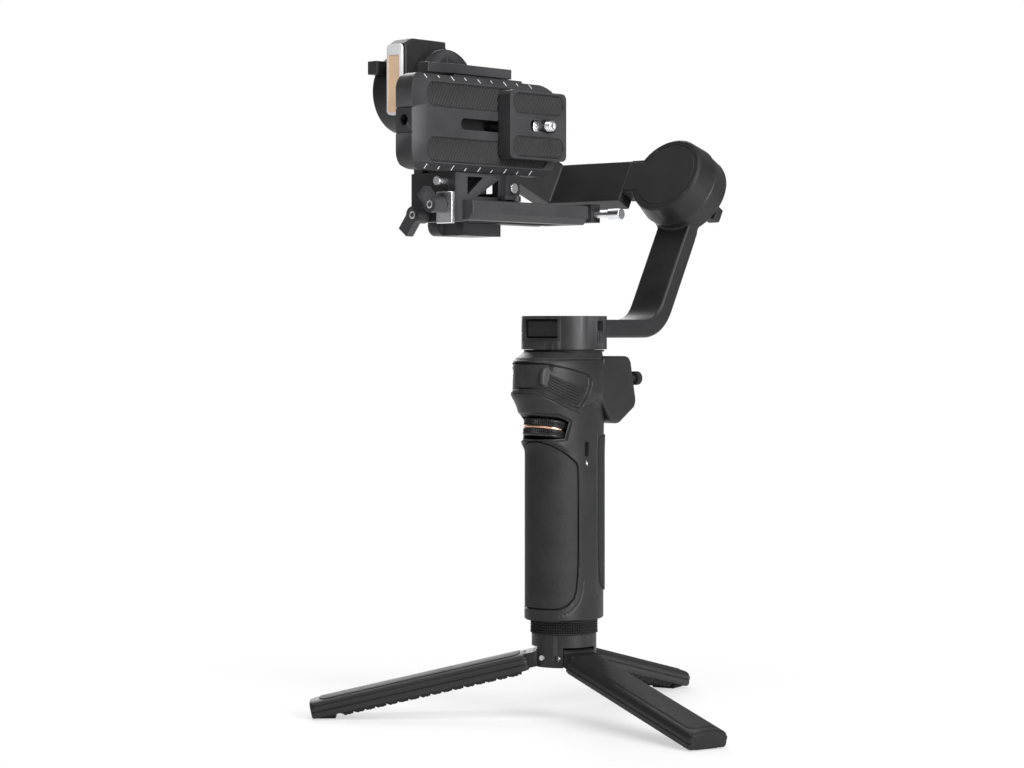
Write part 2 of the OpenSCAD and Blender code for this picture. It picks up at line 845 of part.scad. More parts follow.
module roll_arm() {
    side_t = 11;
    color([0.12, 0.12, 0.125]) roll_frame() difference() {
        union() {
            span([-side_wall - side_t, beam_y0, -beam_h / 2 - lip],
                 [beam_seam - 0.3, beam_y1, beam_h / 2]);
            hull() {
                span([-side_wall - side_t, beam_y0 - 1, -beam_h / 2 - lip],
                     [-side_wall, beam_y1, beam_h / 2]);
                span([-tilt_seam - 17, tilt_r + 2, -17], [-tilt_seam - 0.4, tilt_r + 4, 17]);
            }
            rod_x(-tilt_end, -tilt_seam, 0, 0, tilt_r);
            span([-tilt_seam - 17, 10, -17], [-tilt_seam - 0.4, tilt_r + 3, 17]);
            rotate([roll_lean, 0, 0]) span([-tilt_seam - 17, -light_back + 0.1, tilt_r - 6],
                                           [-tilt_seam - 0.4, 8, tilt_r + 5.6]);
        }
        // socket for the sliding tongue
        span([tongue_x - 17, tongue_y0 - slip, -tongue_half - slip],
             [0, tongue_y1 + slip, tongue_half + slip]);
        // bowl for the tilt motor
        rod_x(-tilt_end + 3, 0, 0, 0, tilt_r - 2.6);
        // clear of the roll motor's edge
        rod_y(roll_face - 20, roll_back, 0, 0, roll_r + 0.6);
    }
}

module tilt_stator() {
    color([0.45, 0.28, 0.15]) difference() {
        union() {
            rod_x(-tilt_end + 3.05, -tilt_seam - 1, 0, axis_z, tilt_r - 8);
            rod_x(-tilt_end + 3.05, -tilt_end + 6, 0, axis_z, tilt_r - 2.7);
        }
        rod_x(-tilt_end, 0, 0, axis_z, bearing_r);
    }
}

module tilt_bearings() {
    color([0.7, 0.7, 0.7]) for (x = [-tilt_end + 5, -tilt_seam - 5.2])
        tube_x(x, x + 4, 0, axis_z, bearing_r, shaft_r + shaft_fit);
}

light_x = -tilt_seam - 6.9;
light_w = 12.3;
light_h = 42;
light_z = axis_z + 5.5;
light_y0 = -tilt_r - 5.6;
light_back = 10;

module light_frame() {
    color([0.85, 0.85, 0.85]) difference() {
        translate([light_x, 0, light_z]) xz_plate(light_y0, -light_back)
            round_rect(light_w, light_h, 3);
        translate([light_x, 0, light_z]) xz_plate(light_y0 - 1, light_y0 + 1.4)
            round_rect(light_w - 2.4, light_h - 2.4, 2);
        rod_x(-tilt_end - 5, 0, 0, axis_z, tilt_r + 0.05);
    }
}

module light_panel() {
    color([0.95, 0.75, 0.5]) translate([light_x, 0, light_z])
        xz_plate(light_y0 + 0.3, light_y0 + 1.35) round_rect(light_w - 2.6, light_h - 2.6, 1.9);
}

module tilt_lock_latch() {
    color([0.16, 0.16, 0.16]) difference() {
        span([-tilt_end + 2.2, -tilt_r - 6, axis_z + 9.4],
             [-tilt_end + 10, -tilt_r + 6, axis_z + 17.4]);
        rod_x(-tilt_end - 5, 0, 0, axis_z, tilt_r + 0.2);
    }
}

clamp_r = 15;
guide_half = 5;
guide_r = 4.4;

module tilt_rotor() {
    color([0.14, 0.14, 0.145]) {
        rod_x(-tilt_seam + 0.3, -tilt_reach, 0, axis_z, tilt_r);
        rod_x(-tilt_seam - 0.7, -tilt_seam + 1, 0, axis_z, tilt_r - 3);
        rod_x(-tilt_end + 4, -tilt_seam + 1, 0, axis_z, shaft_r);
        difference() {
            rod_x(-tilt_seam - 14, -tilt_seam + 1, 0, axis_z, tilt_r - 3);
            rod_x(-tilt_seam - 20, -tilt_seam - 0.7, 0, axis_z, tilt_r - 7.4);
        }
        rod_x(-tilt_reach - 1, arm_x0 - gap, 0, axis_z, clamp_r);
        rod_x(arm_x0 - 2, arm_x1 - 1.2, 0, axis_z, guide_r);
    }
}

// ---------------------------------------------------------------- camera carrier

arm_y0 = -25;
arm_y1 = 17;
arm_z1 = axis_z + 9.5;
arm_z0 = rail_z0 - 7.6;
lift = 15;
key_x = arm_x1 + 8;
key_w = 4;
key_h = 2.6;

module vertical_arm() {
    mid_y = (arm_y0 + arm_y1) / 2;
    mid_z = (arm_z0 + arm_z1) / 2;
    color([0.13, 0.13, 0.135]) difference() {
        union() {
            translate([0, mid_y, mid_z]) yz_plate(arm_x0, arm_x1)
                round_rect(arm_y1 - arm_y0, arm_z1 - arm_z0, 6);
            span([arm_x1 - 1, arm_y0 + 5, arm_z0], [arm_x1 + 16, arm_y1 - 5, rail_z0 - gap]);
            span([key_x, arm_y0 + 5, rail_z0 - 1], [key_x + key_w, arm_y1 - 5, rail_z0 + key_h]);
        }
        // slot for the clamp screw
        translate([0, 0, axis_z - lift / 2]) yz_plate(arm_x0 - 1, arm_x1 + 1)
            round_rect(2 * guide_r + 0.3, 2 * guide_r + 0.3 + lift, guide_r + 0.14);
    }
}

module base_rail() {
    chamfer = 4;
    color([0.16, 0.16, 0.165]) difference() {
        xz_plate(rail_y0, rail_y1) polygon([
            [rail_x0, rail_z0], [rail_x1 - chamfer, rail_z0], [rail_x1, rail_z0 + chamfer],
            [rail_x1, rail_z1 - 1], [rail_x1 - 1, rail_z1], [rail_x0, rail_z1]
        ]);
        span([key_x - slip, rail_y0 - 1, rail_z0 - 1],
             [key_x + key_w + slip, rail_y1 + 1, rail_z0 + key_h + slip]);
        translate([latch_at.x, latch_at.y, rail_z1 - 3.2]) cylinder(h = 9, r = 1.5 + shaft_fit);
        // underside pocket
        span([key_x + key_w + 5, rail_y0 + 8, rail_z0 - 1],
             [rail_x1 - 12, rail_y1 - 8, rail_z0 + 4]);
    }
}

end_y = rail_y1 + 4;
end_z = rail_z1 - 5.4;

module rail_end_clamp() {
    color([0.1, 0.1, 0.1]) difference() {
        span([rail_x0 + 6, rail_y1 + 0.05, rail_z0 + 1.4], [rail_x1 + 2, rail_y1 + 8, rail_z1 + 1]);
        rod_x(rail_x0, rail_x1 + 10, end_y, end_z, 2.1);
    }
}

module rail_end_screw() {
    color([0.75, 0.75, 0.76]) {
        rod_x(rail_x1 - 20, rail_x1 + 13, end_y, end_z, 2.05);
        rod_x(rail_x1 + 13, rail_x1 + 22, end_y, end_z, 3.2);
    }
}

latch_at = [rail_x1 - 3.6, -4, rail_z1];

module rail_latch() {
    color([0.08, 0.08, 0.08]) translate(latch_at) {
        translate([0, 0, 0.2]) cylinder(h = 3.2, r = 3);
        translate([-1.8, -11, 1]) cube([3.6, 11, 2.2]);
        translate([0, 0, -3]) cylinder(h = 4, r = 1.5);
    }
}

block_x0 = rail_x0;
block_x1 = rail_x1 - 8;
block_y0 = rail_y0 - 6;
truss_t = 5;
truss_y1 = 3;

module bracket() {
    z0 = rail_z0 - 0.9;
    h = block_z1 - rail_z1;
    color([0.1, 0.1, 0.1]) difference() {
        union() {
            span([block_x0, block_y0, z0], [block_x1, rail_y0 - 0.05, block_z1]);
            span([block_x1 - truss_t, rail_y0 - 1, rail_z1 + 0.05], [block_x1, truss_y1, block_z1]);
            span([block_x0, rail_y0 - 1, rail_z1 + 0.05], [block_x0 + truss_t, truss_y1, block_z1]);
            span([block_x0, truss_y1 - 14, rail_z1 + 0.05], [block_x1, truss_y1, rail_z1 + 5]);
            // upright behind the plate clamp
            span([block_x0, block_y0 + 2, block_z1 - 1], [block_x0 + 7, truss_y1 + 12, plate_z1 - 2]);
            span([block_x1 - truss_t, truss_y1 - 12, block_z1 - h + 1],
                 [block_x1 + 1.2, truss_y1, block_z1]);
        }
        // triangular lightening windows in the side plate
        yz_plate(block_x1 - truss_t - 1, block_x1 + 3) {
            polygon([[rail_y0 + 4, block_z1 - 2.2], [rail_y0 + 17, block_z1 - 2.2],
                     [rail_y0 + 4, rail_z1 + 3.2]]);
            polygon([[rail_y0 + 30, block_z1 - 3.4], [rail_y0 + 30, rail_z1 + 2.4],
                     [rail_y0 + 12, rail_z1 + 2.4]]);
        }
        bracket_bores();
    }
}

screw_a = [block_x1 + 1.2, truss_y1 - 6, block_z1 - 7.6];
stop_pin = [block_x1 - 7.8, block_z1 - 5];
knob_a = [block_x1 - 8, block_z1 - 18.6];
knob_b = [block_x1 - 24.6, block_z1 - 24];
bolt_r = 2;

module bracket_bores() {
    rod_x(screw_a.x - truss_t, screw_a.x + 5, screw_a.y, screw_a.z, 1.6);
    rod_y(block_y0 - 1, block_y0 + 4, stop_pin.x, stop_pin.y, 1.9);
    for (k = [knob_a, knob_b]) rod_y(block_y0 - 1, rail_y0 - 0.6, k.x, k.y, bolt_r + shaft_fit);
}

module bracket_screws() {
    color([0.78, 0.78, 0.8]) {
        rod_x(screw_a.x - truss_t + 0.5, screw_a.x + 0.1, screw_a.y, screw_a.z, 1.55);
        rod_x(screw_a.x + 0.05, screw_a.x + 1.6, screw_a.y, screw_a.z, 3);
        rod_y(block_y0 - 7.6, block_y0 + 3.9, stop_pin.x, stop_pin.y, 1.85);
        rod_y(block_y0 - 7.6, block_y0 - 0.05, stop_pin.x, stop_pin.y, 2.6);
    }
}

module clamp_jaw() {
    color([0.72, 0.72, 0.74]) difference() {
        span([knob_a.x - 4.4, block_y0 - 3, knob_a.y - 10.5],
             [block_x1 - 0.2, block_y0 - 0.1, knob_a.y + 7.6]);
        rod_y(block_y0 - 5, block_y0 + 1, knob_a.x, knob_a.y, bolt_r + shaft_fit);
    }
}

// knob with a lever, turning about Y
module thumb_lever(at, face, knob_r, turn, reach) {
    color([0.07, 0.07, 0.07]) translate([at.x, 0, at.y]) {
        rod_y(face - 10, face - 0.25, 0, 0, knob_r);
        rod_y(face - 2, rail_y0 - 1, 0, 0, bolt_r);
        rotate([0, turn, 0]) xz_plate(face - 10, face - 4.5)
            translate([0, -knob_r * 0.8]) square([reach, knob_r * 1.6]);
    }
}

module upper_thumb_lever() {
    thumb_lever(knob_a, block_y0 - 3, 4.6, -132, 11);
}

module lower_thumb_lever() {
    thumb_lever(knob_b, block_y0, 4.8, 128, 12.5);
}

clamp_y0 = -44;
clamp_y1 = 14;
jaw_t = 4;

// dovetail clamp that carries the long plate
module plate_clamp() {
    x0 = block_x0 + 7.1;
    lip_x = plate_x0 + 3.4;
    color([0.1, 0.1, 0.1]) difference() {
        span([x0, clamp_y0, plate_z0 - 0.2], [lip_x, clamp_y1, plate_z1 + jaw_t - 2]);
        // seat of the plate
        span([plate_x0 - slip, clamp_y0 - 1, plate_z0 - 5],
             [plate_x1 + 5, clamp_y1 + 1, plate_z1 + slip]);
        rod_z_hole(qr_at, plate_z1 - 8);
    }
}

qr_at = [plate_x0 - 5, -2];
qr_r = 2.2;
qr_z0 = plate_z1 + jaw_t - 1.7;

module rod_z_hole(at, z) {
    translate([at.x, at.y, z]) cylinder(h = 40, r = qr_r + shaft_fit);
}

module quick_release_lever() {
    tip = -64;
    color([0.14, 0.14, 0.14]) {
        translate([0, 0, qr_z0]) linear_extrude(5.6) polygon([
            [qr_at.x - 4.6, 4], [qr_at.x - 4.6, -44], [qr_at.x - 1, -50], [qr_at.x - 1, tip],
            [qr_at.x + 5, tip + 2], [qr_at.x + 9, -44], [qr_at.x + 9, 4]
        ]);
        translate([qr_at.x, qr_at.y, plate_z1 - 7.8]) cylinder(h = 12, r = qr_r);
    }
}

// ---------------------------------------------------------------- long plate

pad_gap = 0.05;
groove = 1.2;
pad_h = 14;
pad_mid = 15.4;

module pad_band(y0, y1, s, mid, h) {
    r = min(h / 2 - 0.2, 6);
    translate([(y0 + y1) / 2, mid * s]) round_rect(y1 - y0, h, r);
}

module long_plate() {
    mid = plate_mid_z;
    c = plate_bevel;
    corner = 9.5;
    color([0.2, 0.2, 0.205]) difference() {
        intersection() {
            xz_plate(plate_y0, plate_y1) polygon([
                [plate_x0, mid - plate_w / 2 + 2.2], [plate_x0 + 2.2, mid - plate_w / 2],
                [plate_x1 - c, mid - plate_w / 2], [plate_x1, mid - plate_w / 2 + c],
                [plate_x1, mid + plate_w / 2 - c], [plate_x1 - c, mid + plate_w / 2],
                [plate_x0 + 2.2, mid + plate_w / 2], [plate_x0, mid + plate_w / 2 - 2.2]
            ]);
            translate([0, (plate_y0 + plate_y1) / 2, mid]) yz_plate(plate_x0 - 1, plate_x1 + 1)
                round_rect(plate_l, plate_w, corner);
        }
        // pad recesses
        for (s = [-1, 1]) translate([0, 0, mid]) yz_plate(plate_x1 - groove, plate_x1 + 1)
            pad_band(plate_y0 + 12, plate_y1 - 6, s, pad_mid, pad_h);
        // centre slot, stepped for the screw's head
        translate([0, (plate_y0 + plate_y1) / 2 + 14, mid]) {
            yz_plate(plate_x0 - 1, plate_x1 + 1) round_rect(68, slot_h, slot_h / 2 - 0.05);
            yz_plate(plate_x0 - 1, plate_x0 + 4.5) round_rect(74, slot_h + 6, slot_h / 2 + 2.95);
        }
        // threaded hole and grooves in the front end
        rod_y(plate_y0 - 1, plate_y0 + 11, (plate_x0 + plate_x1) / 2, mid, end_hole_r);
        for (s = [-1, 1]) span([plate_x0 - 1, plate_y0 - 1, mid + s * 7 - 0.4],
                               [plate_x1 + 1, plate_y0 + 0.8, mid + s * 7 + 0.4]);
    }
}

end_hole_r = 3.175;

module long_plate_pads() {
    color([0.1, 0.1, 0.1]) for (s = [-1, 1]) translate([0, 0, plate_mid_z])
        yz_plate(plate_x1 - groove + pad_gap, plate_x1 - 0.1)
            pad_band(plate_y0 + 12.1, plate_y1 - 6.1, s, pad_mid, pad_h - 0.2);
}

// ---------------------------------------------------------------- camera plate

cam_mid = plate_mid_z + 1.5;
cam_pad_h = 12;
cam_pad_mid = 12.4;
cam_slot_l = 22;
head_r = 6.2;

module camera_plate() {
    mid_y = (cam_y0 + cam_y1) / 2;
    color([0.19, 0.19, 0.195]) difference() {
        union() {
            translate([0, mid_y, cam_mid]) yz_plate(plate_x1 + 0.3, cam_x1)
                round_rect(cam_l, cam_w, 3.5);
            // key in the long plate's slot
            translate([0, cam_y0 + 6, plate_mid_z]) yz_plate(plate_x0 + 5, plate_x1 + 1)
                round_rect(10, slot_h - 0.4, 2.8);
        }
        for (s = [-1, 1]) translate([0, 0, cam_mid]) yz_plate(cam_x1 - groove, cam_x1 + 1)
            pad_band(cam_y0 + 2.4, cam_y1 - 2.4, s, cam_pad_mid, cam_pad_h);
        translate([0, cam_hole_y - 3, cam_mid]) {
            yz_plate(plate_x1 - 1, cam_x1 + 1)
                round_rect(cam_slot_l, 2 * camera_screw_r + 0.9, camera_screw_r + 0.4);
            yz_plate(plate_x1 - 1, plate_x1 + 5)
                round_rect(cam_slot_l + 7, 2 * head_r + 0.8, head_r + 0.35);
        }
    }
}

module camera_plate_pads() {
    color([0.09, 0.09, 0.09]) for (s = [-1, 1]) translate([0, 0, cam_mid])
        yz_plate(cam_x1 - groove + pad_gap, cam_x1 - 0.1)
            pad_band(cam_y0 + 2.5, cam_y1 - 2.5, s, cam_pad_mid, cam_pad_h - 0.2);
}

module camera_screw() {
    color([0.8, 0.8, 0.82]) {
        rod_x(cam_x1 + gap, cam_x1 + camera_screw_out, cam_hole_y, cam_mid, camera_screw_r);
        rod_x(plate_x1 + 4.6, cam_x1 + gap + 0.01, cam_hole_y, cam_mid, camera_screw_r - 0.4);
        rod_x(plate_x1 + 1, plate_x1 + 4.7, cam_hole_y, cam_mid, head_r);
    }
}

// ---------------------------------------------------------------- choose what to draw

casing_left();
casing_right();
grip_pad();
rear_strip();
control_pod();
display();
battery_cells();
main_board();
usb_port();
casing_screws();
wheel_carrier();
pan_stator();
pan_bearings();
tripod_hub();
lock_ring();
hub_screw();
leg_pins();
leg_a();
leg_b();
leg_c();
trigger();
focus_wheel();
joystick();
record_button();
pan_housing();
pan_rotor();
pan_lock_latch();
pan_clamp_lever();
pan_arm();
roll_stator();
roll_bearings();
roll_lock_latch();
roll_housing();
roll_cover();
roll_rotor();
roll_arm();
tilt_stator();
light_frame();
light_panel();
tilt_bearings();
tilt_lock_latch();
tilt_rotor();
vertical_arm();
base_rail();
rail_end_clamp();
rail_end_screw();
rail_latch();
bracket();
bracket_screws();
clamp_jaw();
plate_clamp();
upper_thumb_lever();
lower_thumb_lever();
quick_release_lever();
long_plate();
long_plate_pads();
camera_plate();
camera_plate_pads();
camera_screw();
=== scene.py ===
import json
import math

import bpy
import numpy as np
from mathutils import Matrix, Vector


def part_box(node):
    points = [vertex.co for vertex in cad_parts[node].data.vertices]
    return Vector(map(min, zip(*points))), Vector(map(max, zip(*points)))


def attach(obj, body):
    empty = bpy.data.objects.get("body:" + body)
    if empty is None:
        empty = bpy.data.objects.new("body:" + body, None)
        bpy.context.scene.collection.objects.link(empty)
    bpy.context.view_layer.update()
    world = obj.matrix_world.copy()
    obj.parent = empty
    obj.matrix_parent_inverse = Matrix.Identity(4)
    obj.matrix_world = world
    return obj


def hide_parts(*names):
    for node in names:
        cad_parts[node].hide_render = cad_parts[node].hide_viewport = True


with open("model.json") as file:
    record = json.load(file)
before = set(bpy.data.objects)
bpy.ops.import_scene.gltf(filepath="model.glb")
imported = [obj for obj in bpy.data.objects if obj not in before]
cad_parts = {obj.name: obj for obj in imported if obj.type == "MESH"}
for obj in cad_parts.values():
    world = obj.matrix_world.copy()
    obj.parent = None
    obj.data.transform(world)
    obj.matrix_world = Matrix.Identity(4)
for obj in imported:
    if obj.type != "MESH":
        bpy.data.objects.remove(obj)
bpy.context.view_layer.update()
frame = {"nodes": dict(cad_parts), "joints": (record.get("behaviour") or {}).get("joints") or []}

MM = 0.001
nodes = frame["nodes"]


def box_mm(node):
    low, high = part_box(node)
    return np.array(low) / MM, np.array(high) / MM


# ---------------------------------------------------------------- places, in millimetres

HANDLE_LOW, HANDLE_HIGH = box_mm("casing_right")
HANDLE_Z0, HANDLE_Z1 = HANDLE_LOW[2], HANDLE_HIGH[2]
FLOOR_Z = min(box_mm(n)[0][2] for n in ("leg_a", "leg_b", "leg_c"))
JOINTS = {j["name"]: j for j in frame["joints"]}
GRIP_HALF_W = 20.0
GRIP_HALF_D = 24.5
HEAD_HALF_W = HANDLE_HIGH[0]
HEAD_FRONT = -HANDLE_LOW[1]
HEAD_BACK = 22.0

# ---------------------------------------------------------------- camera, lights, floor

VIEW_AZIMUTH = math.radians(41)
VIEW_DISTANCE = 1.486
VIEW_HEIGHT = 0.191
LENS = 91.4
SHIFT_X = -0.0508
SHIFT_Y = -0.0527
STUDIO_LEVEL = 0.26
WHITE_LEVEL = 1.0
FLOOR_SIZE = 6.0
FLOOR_DROP = 0.0002
FLOOR_TONE = 0.86
SHADOW_NEAR = 0.10                    # metres from the origin where the shadow starts to fade
SHADOW_FAR = 0.42
SHADOW_KEPT = 0.55                    # share of plain white that the camera sees near the object


def make_camera():
    data = bpy.data.cameras.new("camera")
    data.lens = LENS
    data.sensor_width = 36
    data.shift_x = SHIFT_X
    data.shift_y = SHIFT_Y
    cam = bpy.data.objects.new("camera", data)
    bpy.context.scene.collection.objects.link(cam)
    away = Vector((math.sin(VIEW_AZIMUTH), -math.cos(VIEW_AZIMUTH), 0))
    cam.location = away * VIEW_DISTANCE + Vector((0, 0, VIEW_HEIGHT))
    cam.rotation_euler = (math.radians(90), 0, VIEW_AZIMUTH)
    bpy.context.scene.camera = cam


def area_light(name, place, aim, size, power):
    data = bpy.data.lights.new(name, "AREA")
    data.shape = "RECTANGLE"
    data.size, data.size_y = size
    data.energy = power
    lamp = bpy.data.objects.new(name, data)
    lamp.location = place
    lamp.rotation_euler = (Vector(aim) - Vector(place)).to_track_quat("-Z", "Y").to_euler()
    bpy.context.scene.collection.objects.link(lamp)


def white_behind(tree, surface, background):
    """Mixes in a plain white that only the camera, and rays through glass, see."""
    path = tree.nodes.new("ShaderNodeLightPath")
    seen = tree.nodes.new("ShaderNodeMath")
    seen.operation = "MAXIMUM"
    tree.links.new(path.outputs["Is Camera Ray"], seen.inputs[0])
    tree.links.new(path.outputs["Is Transmission Ray"], seen.inputs[1])
    mix = tree.nodes.new("ShaderNodeMixShader")
    tree.links.new(seen.outputs[0], mix.inputs[0])
    tree.links.new(surface, mix.inputs[1])
    tree.links.new(background, mix.inputs[2])
    return mix.outputs[0]


def make_world():
    world = bpy.data.worlds.new("studio")
    bpy.context.scene.world = world
    world.use_nodes = True
    tree = world.node_tree
    tree.nodes.clear()
    dim = tree.nodes.new("ShaderNodeBackground")
    dim.inputs["Color"].default_value = (1, 1, 1, 1)
    dim.inputs["Strength"].default_value = STUDIO_LEVEL
    white = tree.nodes.new("ShaderNodeBackground")
    white.inputs["Color"].default_value = (1, 1, 1, 1)
    white.inputs["Strength"].default_value = WHITE_LEVEL
    out = tree.nodes.new("ShaderNodeOutputWorld")
    tree.links.new(white_behind(tree, dim.outputs[0], white.outputs[0]), out.inputs[0])


def make_floor():
    size = FLOOR_SIZE
    mesh = bpy.data.meshes.new("floor")
    z = FLOOR_Z * MM - FLOOR_DROP
    corners = [(-size, -size, z), (size, -size, z), (size, size, z), (-size, size, z)]
    mesh.from_pydata(corners, [], [(0, 1, 2, 3)])
    floor = bpy.data.objects.new("floor", mesh)
    bpy.context.scene.collection.objects.link(floor)
    mat = bpy.data.materials.new("floor_paper")
    mat.use_nodes = True
    tree = mat.node_tree
    shader = tree.nodes["Principled BSDF"]
    shader.inputs["Base Color"].default_value = (FLOOR_TONE, FLOOR_TONE, FLOOR_TONE, 1)
    shader.inputs["Roughness"].default_value = 0.9
    glow = tree.nodes.new("ShaderNodeEmission")
    glow.inputs["Strength"].default_value = WHITE_LEVEL
    # the camera sees mostly paper white, with part of the object's shadow left in near it
    path = tree.nodes.new("ShaderNodeLightPath")
    share = tree.nodes.new("ShaderNodeMath")
    share.operation = "MULTIPLY"
    tree.links.new(path.outputs["Is Camera Ray"], share.inputs[0])
    place = tree.nodes.new("ShaderNodeNewGeometry")
    away = tree.nodes.new("ShaderNodeVectorMath")
    away.operation = "LENGTH"
    tree.links.new(place.outputs["Position"], away.inputs[0])
    fade = tree.nodes.new("ShaderNodeMapRange")
    fade.interpolation_type = "SMOOTHSTEP"
    fade.inputs["From Min"].default_value = SHADOW_NEAR
    fade.inputs["From Max"].default_value = SHADOW_FAR
    fade.inputs["To Min"].default_value = SHADOW_KEPT
    fade.inputs["To Max"].default_value = 1.0
    tree.links.new(away.outputs["Value"], fade.inputs["Value"])
    tree.links.new(fade.outputs[0], share.inputs[1])
    mix = tree.nodes.new("ShaderNodeMixShader")
    tree.links.new(share.outputs[0], mix.inputs[0])
    tree.links.new(shader.outputs[0], mix.inputs[1])
    tree.links.new(glow.outputs[0], mix.inputs[2])
    tree.links.new(mix.outputs[0], tree.nodes["Material Output"].inputs["Surface"])
    mesh.materials.append(mat)


# ---------------------------------------------------------------- materials

materials = {}


def node(tree, kind, **values):
    made = tree.nodes.new(kind)
    for key, value in values.items():
        if hasattr(made, key):
            setattr(made, key, value)
        else:
            made.inputs[key.replace("_", " ")].default_value = value
    return made


def finish(name, color, rough, metal=0.0, grain=1400.0, bump=0.12, depth=0.00006,
           vary=0.18, edge=None, coat=0.0, specular=0.32, kind="grain", spread=0.08):
    """A surface with mottled colour, uneven gloss, a fine relief and a painted highlight on its edges.
    """
    mat = bpy.data.materials.new(name)
    mat.use_nodes = True
    tree = mat.node_tree
    link = tree.links.new
    shader = tree.nodes["Principled BSDF"]
    shader.inputs["Metallic"].default_value = metal
    shader.inputs["Coat Weight"].default_value = coat
    shader.inputs["Specular IOR Level"].default_value = specular
    where = node(tree, "ShaderNodeTexCoord")
    patch = node(tree, "ShaderNodeTexNoise", Scale=55.0, Detail=5.0)
    link(where.outputs["Object"], patch.inputs["Vector"])
    tone = node(tree, "ShaderNodeValToRGB")
    low, high = tone.color_ramp.elements
    low.position, high.position = 0.3, 0.72
    low.color = (*[c * (1 - vary) for c in color], 1)
    high.color = (*[c * (1 + vary) for c in color], 1)
    link(patch.outputs["Fac"], tone.inputs["Fac"])
    colour_out = tone.outputs["Color"]
    # painted highlight: where an edge colour is given, pointiness paints a lighter colour on convex
    # edges, standing in for light catching the bevels
    if edge:
        geo = node(tree, "ShaderNodeNewGeometry")
        edge_highlight_mask = node(tree, "ShaderNodeValToRGB")
        edge_highlight_mask.color_ramp.elements[0].position = 0.52
        edge_highlight_mask.color_ramp.elements[1].position = 0.62
        link(geo.outputs["Pointiness"], edge_highlight_mask.inputs["Fac"])
        edge_highlight_mix = node(tree, "ShaderNodeMix", data_type="RGBA")
        link(edge_highlight_mask.outputs["Color"], edge_highlight_mix.inputs["Factor"])
        link(colour_out, edge_highlight_mix.inputs[6])
        edge_highlight_mix.inputs[7].default_value = (*edge, 1)
        colour_out = edge_highlight_mix.outputs[2]
    link(colour_out, shader.inputs["Base Color"])
    gloss = node(tree, "ShaderNodeMapRange")
    gloss.inputs["To Min"].default_value = max(rough - spread, 0.03)
    gloss.inputs["To Max"].default_value = min(rough + spread, 1.0)
    link(patch.outputs["Fac"], gloss.inputs["Value"])
    link(gloss.outputs[0], shader.inputs["Roughness"])
    if kind == "leather":
        relief = node(tree, "ShaderNodeTexVoronoi", Scale=grain)
        relief.feature = "SMOOTH_F1"
        out = relief.outputs["Distance"]
    elif kind == "turned":
        relief = node(tree, "ShaderNodeTexWave", Scale=grain, Distortion=1.2)
        relief.wave_type = "BANDS"
        out = relief.outputs["Fac"]
    elif kind == "brushed":
        relief = node(tree, "ShaderNodeTexNoise", Scale=grain, Detail=3.0)
        squash = node(tree, "ShaderNodeMapping")
        squash.inputs["Scale"].default_value = (1, 0.05, 1)
        link(where.outputs["Object"], squash.inputs["Vector"])
        link(squash.outputs[0], relief.inputs["Vector"])
        out = relief.outputs["Fac"]
    else:
        relief = node(tree, "ShaderNodeTexNoise", Scale=grain, Detail=4.0, Roughness=0.6)
        out = relief.outputs["Fac"]
    if kind != "brushed":
        link(where.outputs["Object"], relief.inputs["Vector"])
    bumps = node(tree, "ShaderNodeBump")
    bumps.inputs["Strength"].default_value = bump
    bumps.inputs["Distance"].default_value = depth
    link(out, bumps.inputs["Height"])
    link(bumps.outputs[0], shader.inputs["Normal"])
    materials[name] = mat
    return mat


def make_materials():
    # the edge colours below are painted highlights on convex edges and ridges
    finish("shell", (0.017, 0.017, 0.0175), 0.46, grain=1700, bump=0.5, depth=0.00005,
           edge=(0.035, 0.035, 0.037))
    finish("shell_deep", (0.012, 0.012, 0.013), 0.6, grain=1700, bump=0.4)
    finish("grip_leather", (0.016, 0.016, 0.0165), 0.62, grain=1150, bump=0.6,
           depth=0.00012, kind="leather", vary=0.3)
    finish("soft_rubber", (0.014, 0.014, 0.0145), 0.72, grain=1900, bump=0.5, vary=0.2)
    finish("display_glass", (0.006, 0.006, 0.008), 0.08, coat=1.0, bump=0.01, spread=0.03)
    finish("cell_wrap", (0.05, 0.12, 0.28), 0.35)
    finish("circuit_board", (0.02, 0.12, 0.05), 0.4)
    finish("bright_steel", (0.86, 0.86, 0.88), 0.26, metal=1.0, grain=900, bump=0.15,
           kind="turned", vary=0.06)
    finish("steel", (0.5, 0.5, 0.52), 0.34, metal=1.0, grain=1500, kind="brushed")
    finish("motor_copper", (0.5, 0.28, 0.14), 0.4, metal=0.8)
    finish("anodised", (0.019, 0.019, 0.020), 0.40, metal=0.15, grain=2300, bump=0.35,
           depth=0.00004, edge=(0.055, 0.055, 0.058))
    finish("plate_anodised", (0.040, 0.040, 0.042), 0.42, metal=0.25, grain=2300, bump=0.4,
           depth=0.00004, edge=(0.12, 0.12, 0.125))
    finish("wheel_knurl", (0.014, 0.014, 0.015), 0.3, grain=2500, edge=(0.05, 0.05, 0.05))
    finish("copper_line", (0.86, 0.50, 0.34), 0.2, metal=1.0, grain=800, bump=0.05)
    finish("button", (0.35, 0.03, 0.03), 0.35)
    finish("light_white", (0.80, 0.80, 0.82), 0.35, grain=900, bump=0.05, vary=0.03)
    finish("light_diffuser", (0.86, 0.60, 0.38), 0.38, grain=700, bump=0.08, vary=0.08, coat=0.3)
    finish("shell_light", (0.05, 0.05, 0.052), 0.45, grain=1700, bump=0.3,
           edge=(0.11, 0.11, 0.115))
    finish("pad_rubber", (0.013, 0.013, 0.0135), 0.55, grain=1900, bump=0.3, vary=0.2,
           edge=(0.045, 0.045, 0.047))
    finish("leg_shell", (0.010, 0.010, 0.0105), 0.50, grain=1700, bump=0.25,
           edge=(0.03, 0.03, 0.032))
    finish("leg_grain", (0.009, 0.009, 0.0095), 0.62, grain=520, bump=0.8, depth=0.00018,
           kind="leather", vary=0.3)
    finish("mark_white", (0.78, 0.78, 0.78), 0.5, grain=1200, bump=0.05, vary=0.04)


# ---------------------------------------------------------------- mesh helpers

